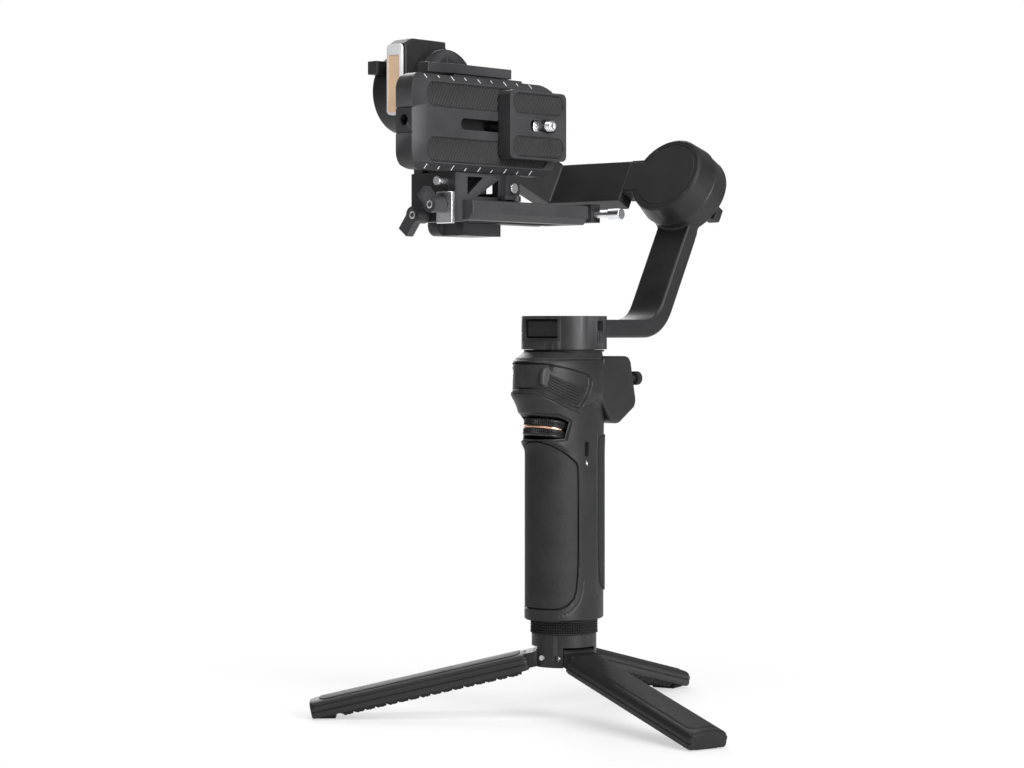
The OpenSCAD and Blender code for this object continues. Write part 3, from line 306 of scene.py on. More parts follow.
def new_piece(name, verts, faces, body, material, stands_for=(), angle=35):
    """A piece from points in millimetres in the row frame."""
    mesh = bpy.data.meshes.new(name)
    mesh.from_pydata([tuple(float(c) * MM for c in v) for v in verts], [], faces)
    mesh.validate()
    mesh.update()
    piece = bpy.data.objects.new(name, mesh)
    bpy.context.scene.collection.objects.link(piece)
    mesh.materials.append(materials[material])
    for face in mesh.polygons:
        face.use_smooth = True
    mesh.set_sharp_from_angle(angle=math.radians(angle))
    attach(piece, body)
    if stands_for:
        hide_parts(*stands_for)
    return piece


WELD_REACH = 0.00001                  # metres
FLAT_WITHIN = 0.6                     # degrees
SPLIT_ABOVE = 31                      # degrees


def soften(piece, width, segments=3, angle=32, clamp=True):
    """Rounds a hard-surface piece's edges."""
    weld = piece.modifiers.new("weld", "WELD")
    weld.merge_threshold = WELD_REACH
    planes = piece.modifiers.new("whole_faces", "DECIMATE")
    planes.decimate_type = "DISSOLVE"
    planes.angle_limit = math.radians(FLAT_WITHIN)
    bevel = piece.modifiers.new("round", "BEVEL")
    bevel.width = width * MM
    bevel.segments = segments
    bevel.limit_method = "ANGLE"
    bevel.angle_limit = math.radians(angle)
    bevel.use_clamp_overlap = clamp
    crease = piece.modifiers.new("crisp_corners", "EDGE_SPLIT")
    crease.split_angle = math.radians(SPLIT_ABOVE)
    crease.use_edge_sharp = False
    normals = piece.modifiers.new("flat_faces", "WEIGHTED_NORMAL")
    normals.weight = 100
    normals.keep_sharp = True


def ring_stack(points):
    """Vertices and faces of a closed skin through a [rings, around, 3] grid."""
    rings, around, _ = points.shape
    verts = points.reshape(-1, 3).tolist()
    faces = []
    for k in range(rings - 1):
        for i in range(around):
            j = (i + 1) % around
            faces.append((k * around + i, k * around + j, (k + 1) * around + j,
                          (k + 1) * around + i))
    verts.append(points[0].mean(0).tolist())
    verts.append(points[-1].mean(0).tolist())
    low, high = len(verts) - 2, len(verts) - 1
    top = (rings - 1) * around
    for i in range(around):
        j = (i + 1) % around
        faces.append((low, j, i))
        faces.append((high, top + i, top + j))
    return verts, faces


def apply_frame(matrix, points):
    """Points in millimetres moved from a local frame to the row frame."""
    rotation = np.array(matrix.to_3x3())
    shift = np.array(matrix.translation)
    return np.asarray(points) @ rotation.T + shift


def outline_prism(outline, low, high, plane):
    """A prism from a closed outline in the YZ or XZ plane."""
    n = len(outline)
    verts = []
    for depth in (low, high):
        for a, b in outline:
            verts.append((depth, a, b) if plane == "YZ" else (a, depth, b))
    faces = [tuple(range(n))[::-1], tuple(range(n, 2 * n))]
    faces += [(i, (i + 1) % n, n + (i + 1) % n, n + i) for i in range(n)]
    return verts, faces


def closed_patch(name, skin, back, body, material, stands_for=(), angle=50,
                 wound_back=False):
    """A closed panel from a grid of outer points and the matching grid behind it."""
    rows, columns, _ = skin.shape
    count = rows * columns
    verts = np.concatenate([skin.reshape(-1, 3), back.reshape(-1, 3)])
    faces = []
    for r in range(rows - 1):
        for c in range(columns - 1):
            a = r * columns + c
            faces.append((a, a + 1, a + columns + 1, a + columns))
            faces.append((count + a, count + a + columns, count + a + columns + 1, count + a + 1))
    rim = list(range(columns))
    rim += [r * columns + columns - 1 for r in range(1, rows)]
    rim += [(rows - 1) * columns + c for c in range(columns - 2, -1, -1)]
    rim += [r * columns for r in range(rows - 2, 0, -1)]
    for k, a in enumerate(rim):
        b = rim[(k + 1) % len(rim)]
        faces.append((a, count + a, count + b, b))
    if wound_back:
        faces = [(a, d, c, b) for a, b, c, d in faces]
    return new_piece(name, verts, faces, body, material, stands_for, angle)


def smooth(x):
    x = np.clip(x, 0, 1)
    return x * x * (3 - 2 * x)


# ---------------------------------------------------------------- carried-over CAD nodes

BEVELS = {
    "pan_housing": (0.35, "anodised"), "pan_lock_latch": (0.35, "anodised"),
    "pan_clamp_lever": (0.6, "anodised"), "pan_stator": (0.3, "shell_deep"),
    "pan_arm": (1.7, "anodised"), "roll_lock_latch": (0.6, "shell"),
    "roll_housing": (0.7, "anodised"), "roll_cover": (0.45, "shell"),
    "roll_arm": (0.9, "anodised"), "tilt_lock_latch": (0.6, "shell"),
    "light_frame": (0.5, "light_white"), "light_panel": (0.2, "light_diffuser"),
    "tilt_rotor": (0.6, "anodised"), "vertical_arm": (0.6, "anodised"),
    "base_rail": (0.5, "plate_anodised"), "rail_end_clamp": (0.8, "anodised"),
    "rail_end_screw": (0.3, "bright_steel"), "rail_latch": (0.4, "anodised"),
    "bracket": (0.5, "anodised"), "bracket_screws": (0.3, "bright_steel"),
    "clamp_jaw": (0.5, "bright_steel"), "plate_clamp": (0.6, "anodised"),
    "upper_thumb_lever": (0.5, "anodised"), "lower_thumb_lever": (0.5, "anodised"),
    "quick_release_lever": (0.7, "anodised"), "long_plate": (0.45, "plate_anodised"),
    "long_plate_pads": (0.1, "soft_rubber"), "camera_plate": (0.4, "plate_anodised"),
    "camera_plate_pads": (0.1, "soft_rubber"), "camera_screw": (0.25, "bright_steel"),
    "casing_left": (0.4, "shell"), "casing_right": (0.4, "shell"),
    "grip_pad": (0.3, "grip_leather"), "rear_strip": (0.3, "soft_rubber"),
    "control_pod": (1.6, "shell"), "display": (0.2, "display_glass"),
    "usb_port": (0.1, "steel"), "casing_screws": (0.15, "steel"),
    "wheel_carrier": (0.2, "shell_deep"), "tripod_hub": (0.4, "shell"),
    "lock_ring": (0.25, "soft_rubber"), "hub_screw": (0.2, "steel"),
    "leg_pins": (0.2, "steel"), "leg_a": (0.5, "soft_rubber"), "leg_b": (0.5, "soft_rubber"),
    "leg_c": (0.5, "soft_rubber"), "trigger": (0.7, "shell"), "focus_wheel": (0.2, "wheel_knurl"),
    "joystick": (0.5, "soft_rubber"), "record_button": (0.4, "button"),
    "battery_cells": (0.5, "cell_wrap"), "main_board": (0.1, "circuit_board"),
    "pan_bearings": (0.1, "steel"), "pan_rotor": (0.2, "steel"),
    "roll_stator": (0.2, "motor_copper"), "roll_bearings": (0.1, "steel"),
    "roll_rotor": (0.2, "steel"), "tilt_stator": (0.2, "motor_copper"),
    "tilt_bearings": (0.1, "steel"),
}


# nodes whose bevels can't meet, so that they keep their full width
WIDE_BEVELS = {"pan_arm", "roll_arm", "base_rail", "plate_clamp"}


def dress_cad():
    for name, piece in nodes.items():
        width, material = BEVELS[name]
        piece.data.materials.clear()
        piece.data.materials.append(materials[material])
        for face in piece.data.polygons:
            face.use_smooth = True
            face.material_index = 0
        soften(piece, width, clamp=name not in WIDE_BEVELS)


# ---------------------------------------------------------------- handle, as a fine height field

AROUND = 400
ROW_COARSE = 0.8
ROW_FINE = 0.4
FINE_FROM = 112.0
U_PER_DEG = 0.384                     # millimetres along the oval for each degree
PAD_TOP_FRONT = 128.4
PAD_TOP_SIDE = 116.0
PAD_FOOT = 33.5
PAD_HALF_U = 27.0
PAD_DEPTH = 1.3
RECESS = [(0, 173.4), (12.8, 172.5), (24, 169.6), (33.6, 165.6), (33.4, 158.5), (30.2, 147.6),
          (27.6, 146.2), (20.5, 150.0), (12.8, 154.9), (6, 157.0), (0, 157.6)]
RECESS_DEPTH = 1.9
RIB_PITCH = 1.6
WINDOW = [(0, 143.2), (17.0, 142.4), (22.6, 139.2), (19.4, 129.8), (0, 129.2)]
SKIRT = [(30.5, 147.0), (34.8, 149.6), (37.6, 151.9), (44.5, 147.2), (51.0, 140.4)]
SLOT_U = 31.9
SLOT_Z = 123.6
SLOT_HALF = (1.35, 4.4)
SLOT_DEPTH = 2.2
SLOT_CORNERS = 24
WINDOW_DEPTH = 27.0
WINDOW_LEAN = math.radians(10)
CUT_EDGE = -0.05                      # how far inside an outline a deep cut starts
SNAP_REACH = ROW_FINE * 0.55
SEAM_U = 180 * U_PER_DEG


def oval_profile(z):
    """Half width, front reach, back reach and squareness of the handle at each height."""
    base, neck = HANDLE_Z0, HANDLE_Z1
    rise = [base, base + 95.4, base + 102.4, base + 113.9, base + 122.4, base + 127.9,
            base + 143.4, base + 148.4, neck]
    width = [GRIP_HALF_W, GRIP_HALF_W, 20.4, 20.7, 21.1, HEAD_HALF_W, HEAD_HALF_W, 21.8, 21.5]
    front = [GRIP_HALF_D, GRIP_HALF_D, 26.8, 28.9, 33.0, HEAD_FRONT + 0.6, 35.8, 34.0, 23.5]
    back = [GRIP_HALF_D, GRIP_HALF_D, 24.5, 24.5, 23.5, HEAD_BACK, HEAD_BACK, HEAD_BACK, 22.4]
    rounded = []
    step = np.linspace(-2.2, 2.2, 9)
    for row in (width, front, back):
        rounded.append(np.mean([np.interp(z + s, rise, row) for s in step], axis=0))
    square = np.interp(z, [neck - 4, neck], [2.15, 2.0])
    return (*rounded, square)


def oval_points(angle, z):
    width, front, back, square = oval_profile(z)
    c, s = np.cos(angle), np.sin(angle)
    reach = np.where(s > 0, front, back)
    x = width * np.sign(c) * np.abs(c) ** (2 / square)
    y = -reach * np.sign(s) * np.abs(s) ** (2 / square)
    return x, y


def polygon_distance(outline, u, z, closed=True):
    """Distance to an outline, negative inside it, and the nearest point on it."""
    best = np.full(u.shape, 1e9)
    near_u, near_z = np.zeros_like(u), np.zeros_like(z)
    inside = np.zeros(u.shape, bool)
    count = len(outline)
    for k in range(count if closed else count - 1):
        (au, az), (bu, bz) = outline[k], outline[(k + 1) % count]
        du, dz = bu - au, bz - az
        t = np.clip(((u - au) * du + (z - az) * dz) / (du * du + dz * dz), 0, 1)
        pu, pz = au + t * du, az + t * dz
        gap = np.hypot(u - pu, z - pz)
        closer = gap < best
        best = np.where(closer, gap, best)
        near_u, near_z = np.where(closer, pu, near_u), np.where(closer, pz, near_z)
        if closed and az != bz:
            crosses = (az > z) != (bz > z)
            inside ^= crosses & (u < au + (z - az) * du / (bz - az))
    return np.where(inside, -best, best), near_u, near_z


def mirrored(half):
    """A closed outline from its right half, which starts and ends on the front line."""
    return half + [(-u, z) for u, z in reversed(half) if u != 0]


def rounded_outline(outline, cuts=2):
    """Corner cutting, which turns a polygon into a soft closed line."""
    points = np.array(outline, float)
    for _ in range(cuts):
        ahead = np.roll(points, -1, axis=0)
        points = np.stack([points * 0.8 + ahead * 0.2, points * 0.2 + ahead * 0.8], 1)
        points = points.reshape(-1, 2)
    return [tuple(p) for p in points]


def pad_outline():
    half = [(0, PAD_TOP_FRONT), (9, PAD_TOP_FRONT - 1.6), (18, PAD_TOP_FRONT - 6.2),
            (PAD_HALF_U - 1.5, PAD_TOP_SIDE + 0.6), (PAD_HALF_U, PAD_TOP_SIDE - 3.5),
            (PAD_HALF_U, PAD_FOOT + 9), (PAD_HALF_U - 8.5, PAD_FOOT), (0, PAD_FOOT)]
    return rounded_outline(mirrored(half))


def groove(distance, width, depth):
    return depth * np.clip(1 - np.abs(distance) / (width / 2), 0, 1)


def handle_grid():
    rows = np.concatenate([np.arange(HANDLE_Z0, FINE_FROM, ROW_COARSE),
                           np.arange(FINE_FROM, HANDLE_Z1, ROW_FINE), [HANDLE_Z1]])
    turn = np.arange(AROUND) * 2 * math.pi / AROUND
    turn, z = np.meshgrid(turn, rows)
    from_front = (np.degrees(turn) - 90 + 180) % 360 - 180
    return turn, z, -from_front * U_PER_DEG


def snapped(outline, u, z, reach):
    """Grid points close to an outline moved on to it, so that a cut's edge is clean."""
    distance, near_u, near_z = polygon_distance(outline, u, z)
    close = np.abs(distance) < reach
    return np.where(close, near_u, u), np.where(close, near_z, z)


def handle_surface(turn, z, u):
    """Inward depth at each grid point, apart from the deep window and slot."""
    across = np.abs(u)
    depth = np.zeros_like(z)
    recess, _, _ = polygon_distance(rounded_outline(mirrored(RECESS), 1), u, z)
    depth += RECESS_DEPTH * smooth(-recess / 0.9)
    floor_line = np.interp(across, [p[0] for p in RECESS[:5:-1]], [p[1] for p in RECESS[:5:-1]])
    above = z - floor_line - 1.6
    comb = 0.5 + 0.5 * np.cos(2 * math.pi * above / RIB_PITCH)
    field = (smooth((across - 12.5) / 3) * smooth((30.4 - across - (z - 150) * -0.12) / 0.8)
             * smooth((above + 0.8) / 0.8) * smooth((RIB_PITCH * 7.5 - above) / 0.8)
             * smooth((-recess - 2.2) / 0.6))
    depth -= 0.75 * (1 - comb ** 3) * field
    lip = np.abs(recess - 1.6)
    under = (z < 158.5) & (across < 29)
    depth += np.where(under, groove(lip, 0.9, 0.55), 0)
    depth += groove(polygon_distance(SKIRT, across, z, closed=False)[0], 0.9, 0.6)
    pad, _, _ = polygon_distance(pad_outline(), u, z)
    depth += (PAD_DEPTH + 0.25) * smooth((-pad + 0.35) / 0.5)
    hood = smooth((pad - 0.6) / 2.2) * smooth((7.5 - pad) / 5)
    depth -= np.where(z > 112, 0.9 * hood * smooth((24 - across) / 10), 0)
    scoop = np.clip(1 - np.abs(pad + 2.0) / 3.5, 0, 1) * smooth((z - 112) / 6)
    depth += 0.7 * scoop * smooth((20 - across) / 8)
    corner = (z < PAD_FOOT + 16) & (across > PAD_HALF_U - 12)
    depth += np.where(corner, groove(pad - 3.8, 0.9, 0.5), 0)
    window, _, _ = polygon_distance(mirrored(WINDOW), u, z)
    depth += 1.1 * smooth((1.7 - window) / 1.1)
    strip_edge = np.abs(across - 39.6)
    depth += np.where((z < 132) & (z > 40), groove(strip_edge, 0.9, 0.5), 0)
    seam = np.abs(u - SEAM_U) < 0.2
    depth += np.where(seam, 0.2, 0)
    foot = np.clip(1 - (z - HANDLE_Z0) / 1.2, 0, 1)
    depth += 0.8 * (1 - np.sqrt(np.clip(1 - foot ** 2, 0, 1)))
    neck = np.abs(z - (HANDLE_Z1 - 4.2))
    depth += groove(neck, 1.0, 0.5)
    return depth


def inward(x, y, z):
    """Unit directions from the skin to the axis plane, level."""
    ahead_x, ahead_y = np.roll(x, -1, 1) - np.roll(x, 1, 1), np.roll(y, -1, 1) - np.roll(y, 1, 1)
    size = np.hypot(ahead_x, ahead_y)
    return -(-ahead_y / size), -(ahead_x / size)


def slot_outline():
    """The charging slot, a tall shape with round ends."""
    radius, reach = SLOT_HALF
    end = reach - radius
    outline = []
    for corner in range(SLOT_CORNERS):
        a = corner * 2 * math.pi / SLOT_CORNERS
        z = SLOT_Z + radius * math.sin(a) + end * math.copysign(1, math.sin(a))
        outline.append((SLOT_U + radius * math.cos(a), z))
    return outline


def handle_body():
    """The handle's skin, with the wheel window and the charging slot sunk into it."""
    turn, z, u = handle_grid()
    slot_box = slot_outline()
    u2, z2 = snapped(mirrored(WINDOW), u, z, SNAP_REACH)
    u2, z2 = snapped(slot_box, u2, z2, SNAP_REACH)
    turn = turn - (u2 - u) / U_PER_DEG * math.pi / 180
    x, y = oval_points(turn, z2)
    nx, ny = inward(x, y, z2)
    depth = handle_surface(turn, z2, u2)
    x, y = x + nx * depth, y + ny * depth
    window, _, _ = polygon_distance(mirrored(WINDOW), u2, z2)
    deep = (window < CUT_EDGE) * WINDOW_DEPTH
    y = np.where(deep > 0, np.minimum(y + deep, -0.6), y)
    z3 = np.where(deep > 0, z2 - WINDOW_DEPTH * math.sin(WINDOW_LEAN), z2)
    slot, _, _ = polygon_distance(slot_box, u2, z2)
    x = np.where(slot < CUT_EDGE, x - SLOT_DEPTH, x)
    points = np.stack([x, y, z3], -1)
    verts, faces = ring_stack(points)
    new_piece("handle_shell", verts, faces, "handle", "shell",
              ("casing_left", "casing_right"), angle=40)


def patch_on_handle(name, outline, sink, proud, material, stands_for, columns=150,
                    rows=260, edge=0.7):
    """A closed panel let into the handle: an outer skin over an outline, a rim and a back."""
    outline_z = [p[1] for p in outline]
    span_v = np.linspace(0, 1, rows)
    low, high = min(outline_z), max(outline_z)
    z = low + (high - low) * (0.5 - 0.5 * np.cos(math.pi * span_v))
    left, right = np.zeros(rows), np.zeros(rows)
    for k, height in enumerate(z):
        cuts = []
        height = min(max(height, low + 1e-3), high - 1e-3)
        for i in range(len(outline)):
            (au, az), (bu, bz) = outline[i], outline[(i + 1) % len(outline)]
            if (az > height) != (bz > height):
                cuts.append(au + (height - az) * (bu - au) / (bz - az))
        left[k], right[k] = min(cuts), max(cuts)
    t = 0.5 - 0.5 * np.cos(math.pi * np.linspace(0, 1, columns))
    u = left[:, None] + (right - left)[:, None] * t
    zz = np.repeat(z[:, None], columns, 1)
    turn = math.pi / 2 - np.radians(u / U_PER_DEG)
    x, y = oval_points(turn, zz)
    step = 0.002
    x2, y2 = oval_points(turn + step, zz)
    size = np.hypot(x2 - x, y2 - y)
    out_x, out_y = -(y2 - y) / size, (x2 - x) / size
    flip = np.where(out_x * x + out_y * y < 0, -1, 1)
    out_x, out_y = out_x * flip, out_y * flip
    distance, _, _ = polygon_distance(outline, u, zz)
    round_off = np.clip(1 + distance / edge, 0, 1)
    lift = proud - edge * (1 - np.sqrt(np.clip(1 - round_off ** 2, 0, 1)))
    skin = np.stack([x + out_x * lift, y + out_y * lift, zz], -1)
    back = np.stack([x - out_x * sink, y - out_y * sink, zz], -1)
    closed_patch(name, skin, back, "handle", material, stands_for, wound_back=True)


def grip_panel():
    inner = [(u * 0.985, PAD_FOOT + 0.35 + (z - PAD_FOOT) * 0.9935) for u, z in pad_outline()]
    patch_on_handle("grip_leather_pad", inner, PAD_DEPTH, -0.15, "grip_leather",
                    ("grip_pad",))


def back_panel():
    top, foot = 131.4, 41.6
    centre = 180 * U_PER_DEG
    half = centre - 40.6
    ring = rounded_outline([(centre - half, foot + 8), (centre - half + 7, foot),
                            (centre + half - 7, foot), (centre + half, foot + 8),
                            (centre + half, top - 3), (centre + half - 3, top),
                            (centre - half + 3, top), (centre - half, top - 3)])
    patch_on_handle("rear_rubber_strip", ring, 0.6, 0.8, "soft_rubber",
                    ("rear_strip",), columns=90, rows=180)


def charge_symbol():
    """A small raised bolt under the charging slot."""
    centre_u, centre_z = SLOT_U + 0.2, SLOT_Z - 8.0
    shape = [(0.55, 1.5), (-0.75, -0.2), (-0.1, -0.2), (-0.5, -1.5), (0.8, 0.25), (0.12, 0.25)]
    verts = []
    for lift in (0.08, -0.3):
        for du, dz in shape:
            turn = math.pi / 2 - math.radians((centre_u - du) / U_PER_DEG)
            x, y = oval_points(np.array(turn), np.array(centre_z + dz))
            verts.append((float(x) + lift, float(y), centre_z + dz))
    n = len(shape)
    faces = [tuple(range(n)), tuple(range(2 * n - 1, n - 1, -1))]
    faces += [(i, n + i, n + (i + 1) % n, (i + 1) % n) for i in range(n)]
    new_piece("charge_symbol", verts, faces, "handle", "mark_white")


# ---------------------------------------------------------------- turned and patterned pieces

def lathe(name, profile, around, frame_at, body, material, stands_for=(), relief=None,
          angle=40):
    """A closed (radius, height) loop turned about the local Z axis, with optional relief."""
    profile = np.array(profile, float)
    turn = np.arange(around) * 2 * math.pi / around
    radius = np.repeat(profile[None, :, 0], around, 0)
    height = np.repeat(profile[None, :, 1], around, 0)
    if relief:
        radius = radius + relief(turn[:, None], height, radius)
    points = np.stack([radius * np.cos(turn)[:, None], radius * np.sin(turn)[:, None], height], -1)
    points = apply_frame(frame_at, points.reshape(-1, 3))
    count = len(profile)
    faces = []
    for i in range(around):
        j = (i + 1) % around
        for k in range(count):
            m = (k + 1) % count
            faces.append((i * count + k, j * count + k, j * count + m, i * count + m))
    return new_piece(name, points, faces, body, material, stands_for, angle)


def wall_line(radius, low, high, step):
    count = max(2, int(round((high - low) / step)) + 1)
    return [(radius, z) for z in np.linspace(low, high, count)]


def triangle(x):
    return np.abs((x % 1.0) * 2 - 1)


def lock_ring_knurl():
    """The locking collar, with four rows of pyramid studs between two lips."""
    low, high = box_mm("lock_ring")
    outer = (high[0] - low[0]) / 2
    z0, z1 = low[2], high[2]
    first, last = z0 + 0.9, z1 - 0.9
    profile = wall_line(outer, z0 + 0.35, z1 - 0.35, 0.17)
    profile = [(outer - 0.5, z0)] + profile + [(outer - 0.5, z1), (10.2, z1), (10.2, z0)]
    rows, studs = 4, 84

    def relief(turn, height, radius):
        along = (height - first) / (last - first) * rows
        across = turn / (2 * math.pi) * studs
        stud = 1 - np.maximum(triangle(along), triangle(across))
        inside = (height > first) & (height < last) & (radius > outer - 0.1)
        return np.where(inside, -0.95 + 1.25 * np.clip(stud * 1.35, 0, 0.72), 0.0)

    lathe("lock_ring_knurled", profile, studs * 8, Matrix.Identity(4), "handle",
          "soft_rubber", ("lock_ring",), relief, angle=25)


WHEEL_R = 13.5
WHEEL_HALF = 5.0


def wheel_frame():
    place = Vector(JOINTS["focus_wheel_spin"]["pos_m"]) / MM
    axis = Vector(JOINTS["focus_wheel_spin"]["axis"])
    tip = math.atan2(axis.y, axis.z)
    return Matrix.Translation(place) @ Matrix.Rotation(-tip, 4, "X")


def focus_wheel_detail():
    """The focus wheel: two knurled bands either side of a polished line."""
    outer = WHEEL_R - 0.1
    profile = wall_line(outer, -WHEEL_HALF + 0.7, WHEEL_HALF - 0.7, 0.16)
    profile = ([(outer - 0.7, -WHEEL_HALF + 0.1)] + profile
               + [(outer - 0.7, WHEEL_HALF - 0.1), (6.0, WHEEL_HALF - 0.1), (5.0, WHEEL_HALF - 0.9),
                  (3.0, WHEEL_HALF - 0.9), (3.0, -WHEEL_HALF + 0.9), (5.0, -WHEEL_HALF + 0.9),
                  (6.0, -WHEEL_HALF + 0.1)])
    teeth = 72

    def relief(turn, height, radius):
        level = np.abs(height)
        band = smooth((level - 1.15) / 0.25) * smooth((4.0 - level) / 0.25) * (radius > outer - 0.1)
        rung = np.clip(1.6 * triangle(turn / (2 * math.pi) * teeth), 0, 1)
        split = 1 - np.clip(1 - np.abs(level - 2.6) / 0.22, 0, 1)
        gutter = np.where((level < 1.0) & (radius > outer - 0.1), -0.55, 0.0)
        return band * (-0.62 + 0.62 * rung * split) + gutter

    lathe("focus_wheel_knurled", profile, teeth * 8, wheel_frame(), "focus_wheel",
          "wheel_knurl", ("focus_wheel",), relief, angle=28)
    line = [(outer - 0.1 + 0.35 * math.cos(a), 0.55 * math.sin(a))
            for a in np.linspace(-math.pi / 2, math.pi / 2, 9)] + [(12.4, 0.55), (12.4, -0.55)]
    lathe("focus_wheel_line", line, 180, wheel_frame(), "focus_wheel",
          "copper_line")


def threaded_screw():
    """The camera screw with a cut thread and a domed, slotted-off tip."""
    low, high = box_mm("camera_screw")
    place = Vector(JOINTS["camera_screw_spin"]["pos_m"]) / MM
    frame_at = Matrix.Translation((0, place.y, place.z)) @ Matrix.Rotation(math.pi / 2, 4, "Y")
    head = (high[2] - low[2]) / 2
    thread, neck = 3.1, 2.7
    tip = high[0] - 0.05
    base = box_mm("camera_plate")[1][0] + 0.4
    profile = [(0.05, low[0]), (head - 0.3, low[0]), (head, low[0] + 0.3), (head, low[0] + 3.3),
               (head - 0.3, low[0] + 3.6), (neck, low[0] + 3.6), (neck, base)]
    profile += wall_line(thread, base + 0.3, tip - 0.7, 0.12)
    profile += [(thread - 0.25, tip - 0.3), (thread - 0.8, tip), (1.7, tip), (1.5, tip - 0.7),
                (0.05, tip - 0.7)]
    pitch = 1.27

    def relief(turn, height, radius):
        cut = triangle(height / pitch + turn / (2 * math.pi))
        return np.where(np.abs(radius - thread) < 0.02, -0.55 * np.clip(1.3 * cut - 0.2, 0, 1), 0.0)

    lathe("camera_screw_thread", profile, 96, frame_at, "camera_screw",
          "bright_steel", ("camera_screw",), relief, angle=50)


def knob_socket(name, joint, node, body):
    """A small bright screw with a hexagonal socket in the end of a knob."""
    place = Vector(JOINTS[joint]["pos_m"]) / MM
    face = box_mm(node)[0][1]
    centre = Matrix.Translation((place.x, face - 0.05, place.z))
    frame_at = centre @ Matrix.Rotation(math.pi / 2, 4, "X")
    outer, inner = 2.3, 1.25
    profile = [(outer, -0.6), (outer, 0.0), (outer - 0.3, 0.1), (inner + 0.15, 0.1), (inner, 0.0),
               (inner, -0.55), (0.05, -0.55), (0.05, -0.6)]

    def relief(turn, height, radius):
        part = (turn + math.pi / 6) % (math.pi / 3) - math.pi / 6
        hexagon = inner / np.cos(part) - inner
        return np.where(np.abs(radius - inner) < 0.2, hexagon, 0.0)

    lathe(name, profile, 72, frame_at, body, "bright_steel", (), relief, angle=30)


HATCH_PITCH = 2.0
HATCH_DEPTH = 0.75


def hatched_pad(name, node, body, sign, height, corner, stands_for=()):
    """A rubber pad with moulded diagonal ribs, on the plate's camera side."""
    low, high = box_mm(node)
    middle = (low[2] + high[2]) / 2
    z_mid = middle + sign * ((high[2] - low[2]) / 2 - height / 2)
    y_mid, reach = (low[1] + high[1]) / 2, (high[1] - low[1]) / 2
    rows, columns = int(height / 0.26), int(2 * reach / 0.26)
    v = np.linspace(-1, 1, rows) * height / 2
    beyond = np.clip(np.abs(v) - (height / 2 - corner), 0, corner)
    end = reach - corner + np.sqrt(np.clip(corner ** 2 - beyond ** 2, 0, None))
    y = y_mid + end[:, None] * np.linspace(-1, 1, columns)[None, :]
    z = z_mid + np.repeat(v[:, None], columns, 1)
    lay = math.radians(28)
    phase = ((y - y_mid) * math.cos(lay) - (z - z_mid) * math.sin(lay)) / HATCH_PITCH
    rib = np.clip(1.5 * triangle(phase) - 0.25, 0, 1)
    rim = np.minimum(end[:, None] - np.abs(y - y_mid), height / 2 - np.abs(z - z_mid))
    inside = smooth((rim - 0.55) / 0.3)
    x = high[0] - HATCH_DEPTH * inside * (1 - rib) - 0.3 * (1 - smooth(rim / 0.35))
    skin = np.stack([x, y, z], -1)
    back = np.stack([np.full_like(x, low[0] + 0.02), y, z], -1)
    closed_patch(name, skin, back, body, "pad_rubber", stands_for, angle=28)


def plate_marks():
    """White marks along both camera-side bevels of the long plate."""
    low, high = box_mm("long_plate")
    bevel = 3.75
    pitch = 11.0
    for side in (-1, 1):
        edge_z = high[2] if side > 0 else low[2]
        inner = Vector((high[0] - bevel, 0, edge_z))
        outer = Vector((high[0], 0, edge_z - side * bevel))
        out = Vector((0.7071, 0, side * 0.7071))
        along = (outer - inner).normalized()
        for k in range(9):
            y = low[1] + 13 + k * pitch
            reach = 3.4 if k % 2 == 0 else 2.2
            verts = []
            for lift in (0.09, -0.25):
                for du, dy in ((0.8, -0.28), (0.8, 0.28), (0.8 + reach, 0.28), (0.8 + reach, -0.28)):
                    verts.append(inner + along * du + out * lift + Vector((0, y + dy, 0)))
            faces = [(0, 1, 2, 3), (7, 6, 5, 4)]
            faces += [(i, 4 + i, 4 + (i + 1) % 4, (i + 1) % 4) for i in range(4)]
            new_piece(f"plate_mark_{'upper' if side > 0 else 'lower'}_{k}", verts, faces,
                      "long_plate", "mark_white")


def trigger_cheek():
    """The bevelled side bar of the trigger."""
    low, high = box_mm("trigger")
    side = 12.6
    outline = [(-25.5, high[2] - 0.7), (-31.8, high[2] - 2.2), (-33.2, high[2] - 5.0),
               (-33.8, low[2] + 2.4), (-31.2, low[2] + 0.6), (-27.6, low[2] + 3.8), (-25.2, low[2] + 8)]
    verts, faces = outline_prism(outline, side - 1.6, side + 1.1, "YZ")
    piece = new_piece("trigger_side", verts, faces, "trigger", "shell_light")
    soften(piece, 0.9, segments=4)


def pod_shell():
    """The rounded control pod behind the head, wider where it meets the handle."""
    low, high = box_mm("control_pod")
    back, top, foot = high[1], high[2], low[2]
    front = 7.4
    outline = [(front + 3.4, top), (front + 0.9, top - 11), (front, top - 19), (front + 0.6, top - 24),
               (front + 10.4, foot + 1.6), (front + 17, foot), (27, foot), (back - 1.5, foot + 8.8),
               (back, foot + 12.8), (back - 5.2, top - 3), (back - 8, top)]
    verts, faces = outline_prism(outline, -1, 1, "YZ")
    half = high[0]
    verts = [(x * (half + 2.6 - 0.09 * (y - front)), y, z) for x, y, z in verts]
    piece = new_piece("pod_shell", verts, faces, "handle", "shell", ("control_pod",))
    soften(piece, 2.4, segments=6, angle=20)


BEZEL_POINTS = 64
BEZEL_CORNER = 3.0
PANEL_CORNER = 1.6
BEZEL_LIP = 1.4


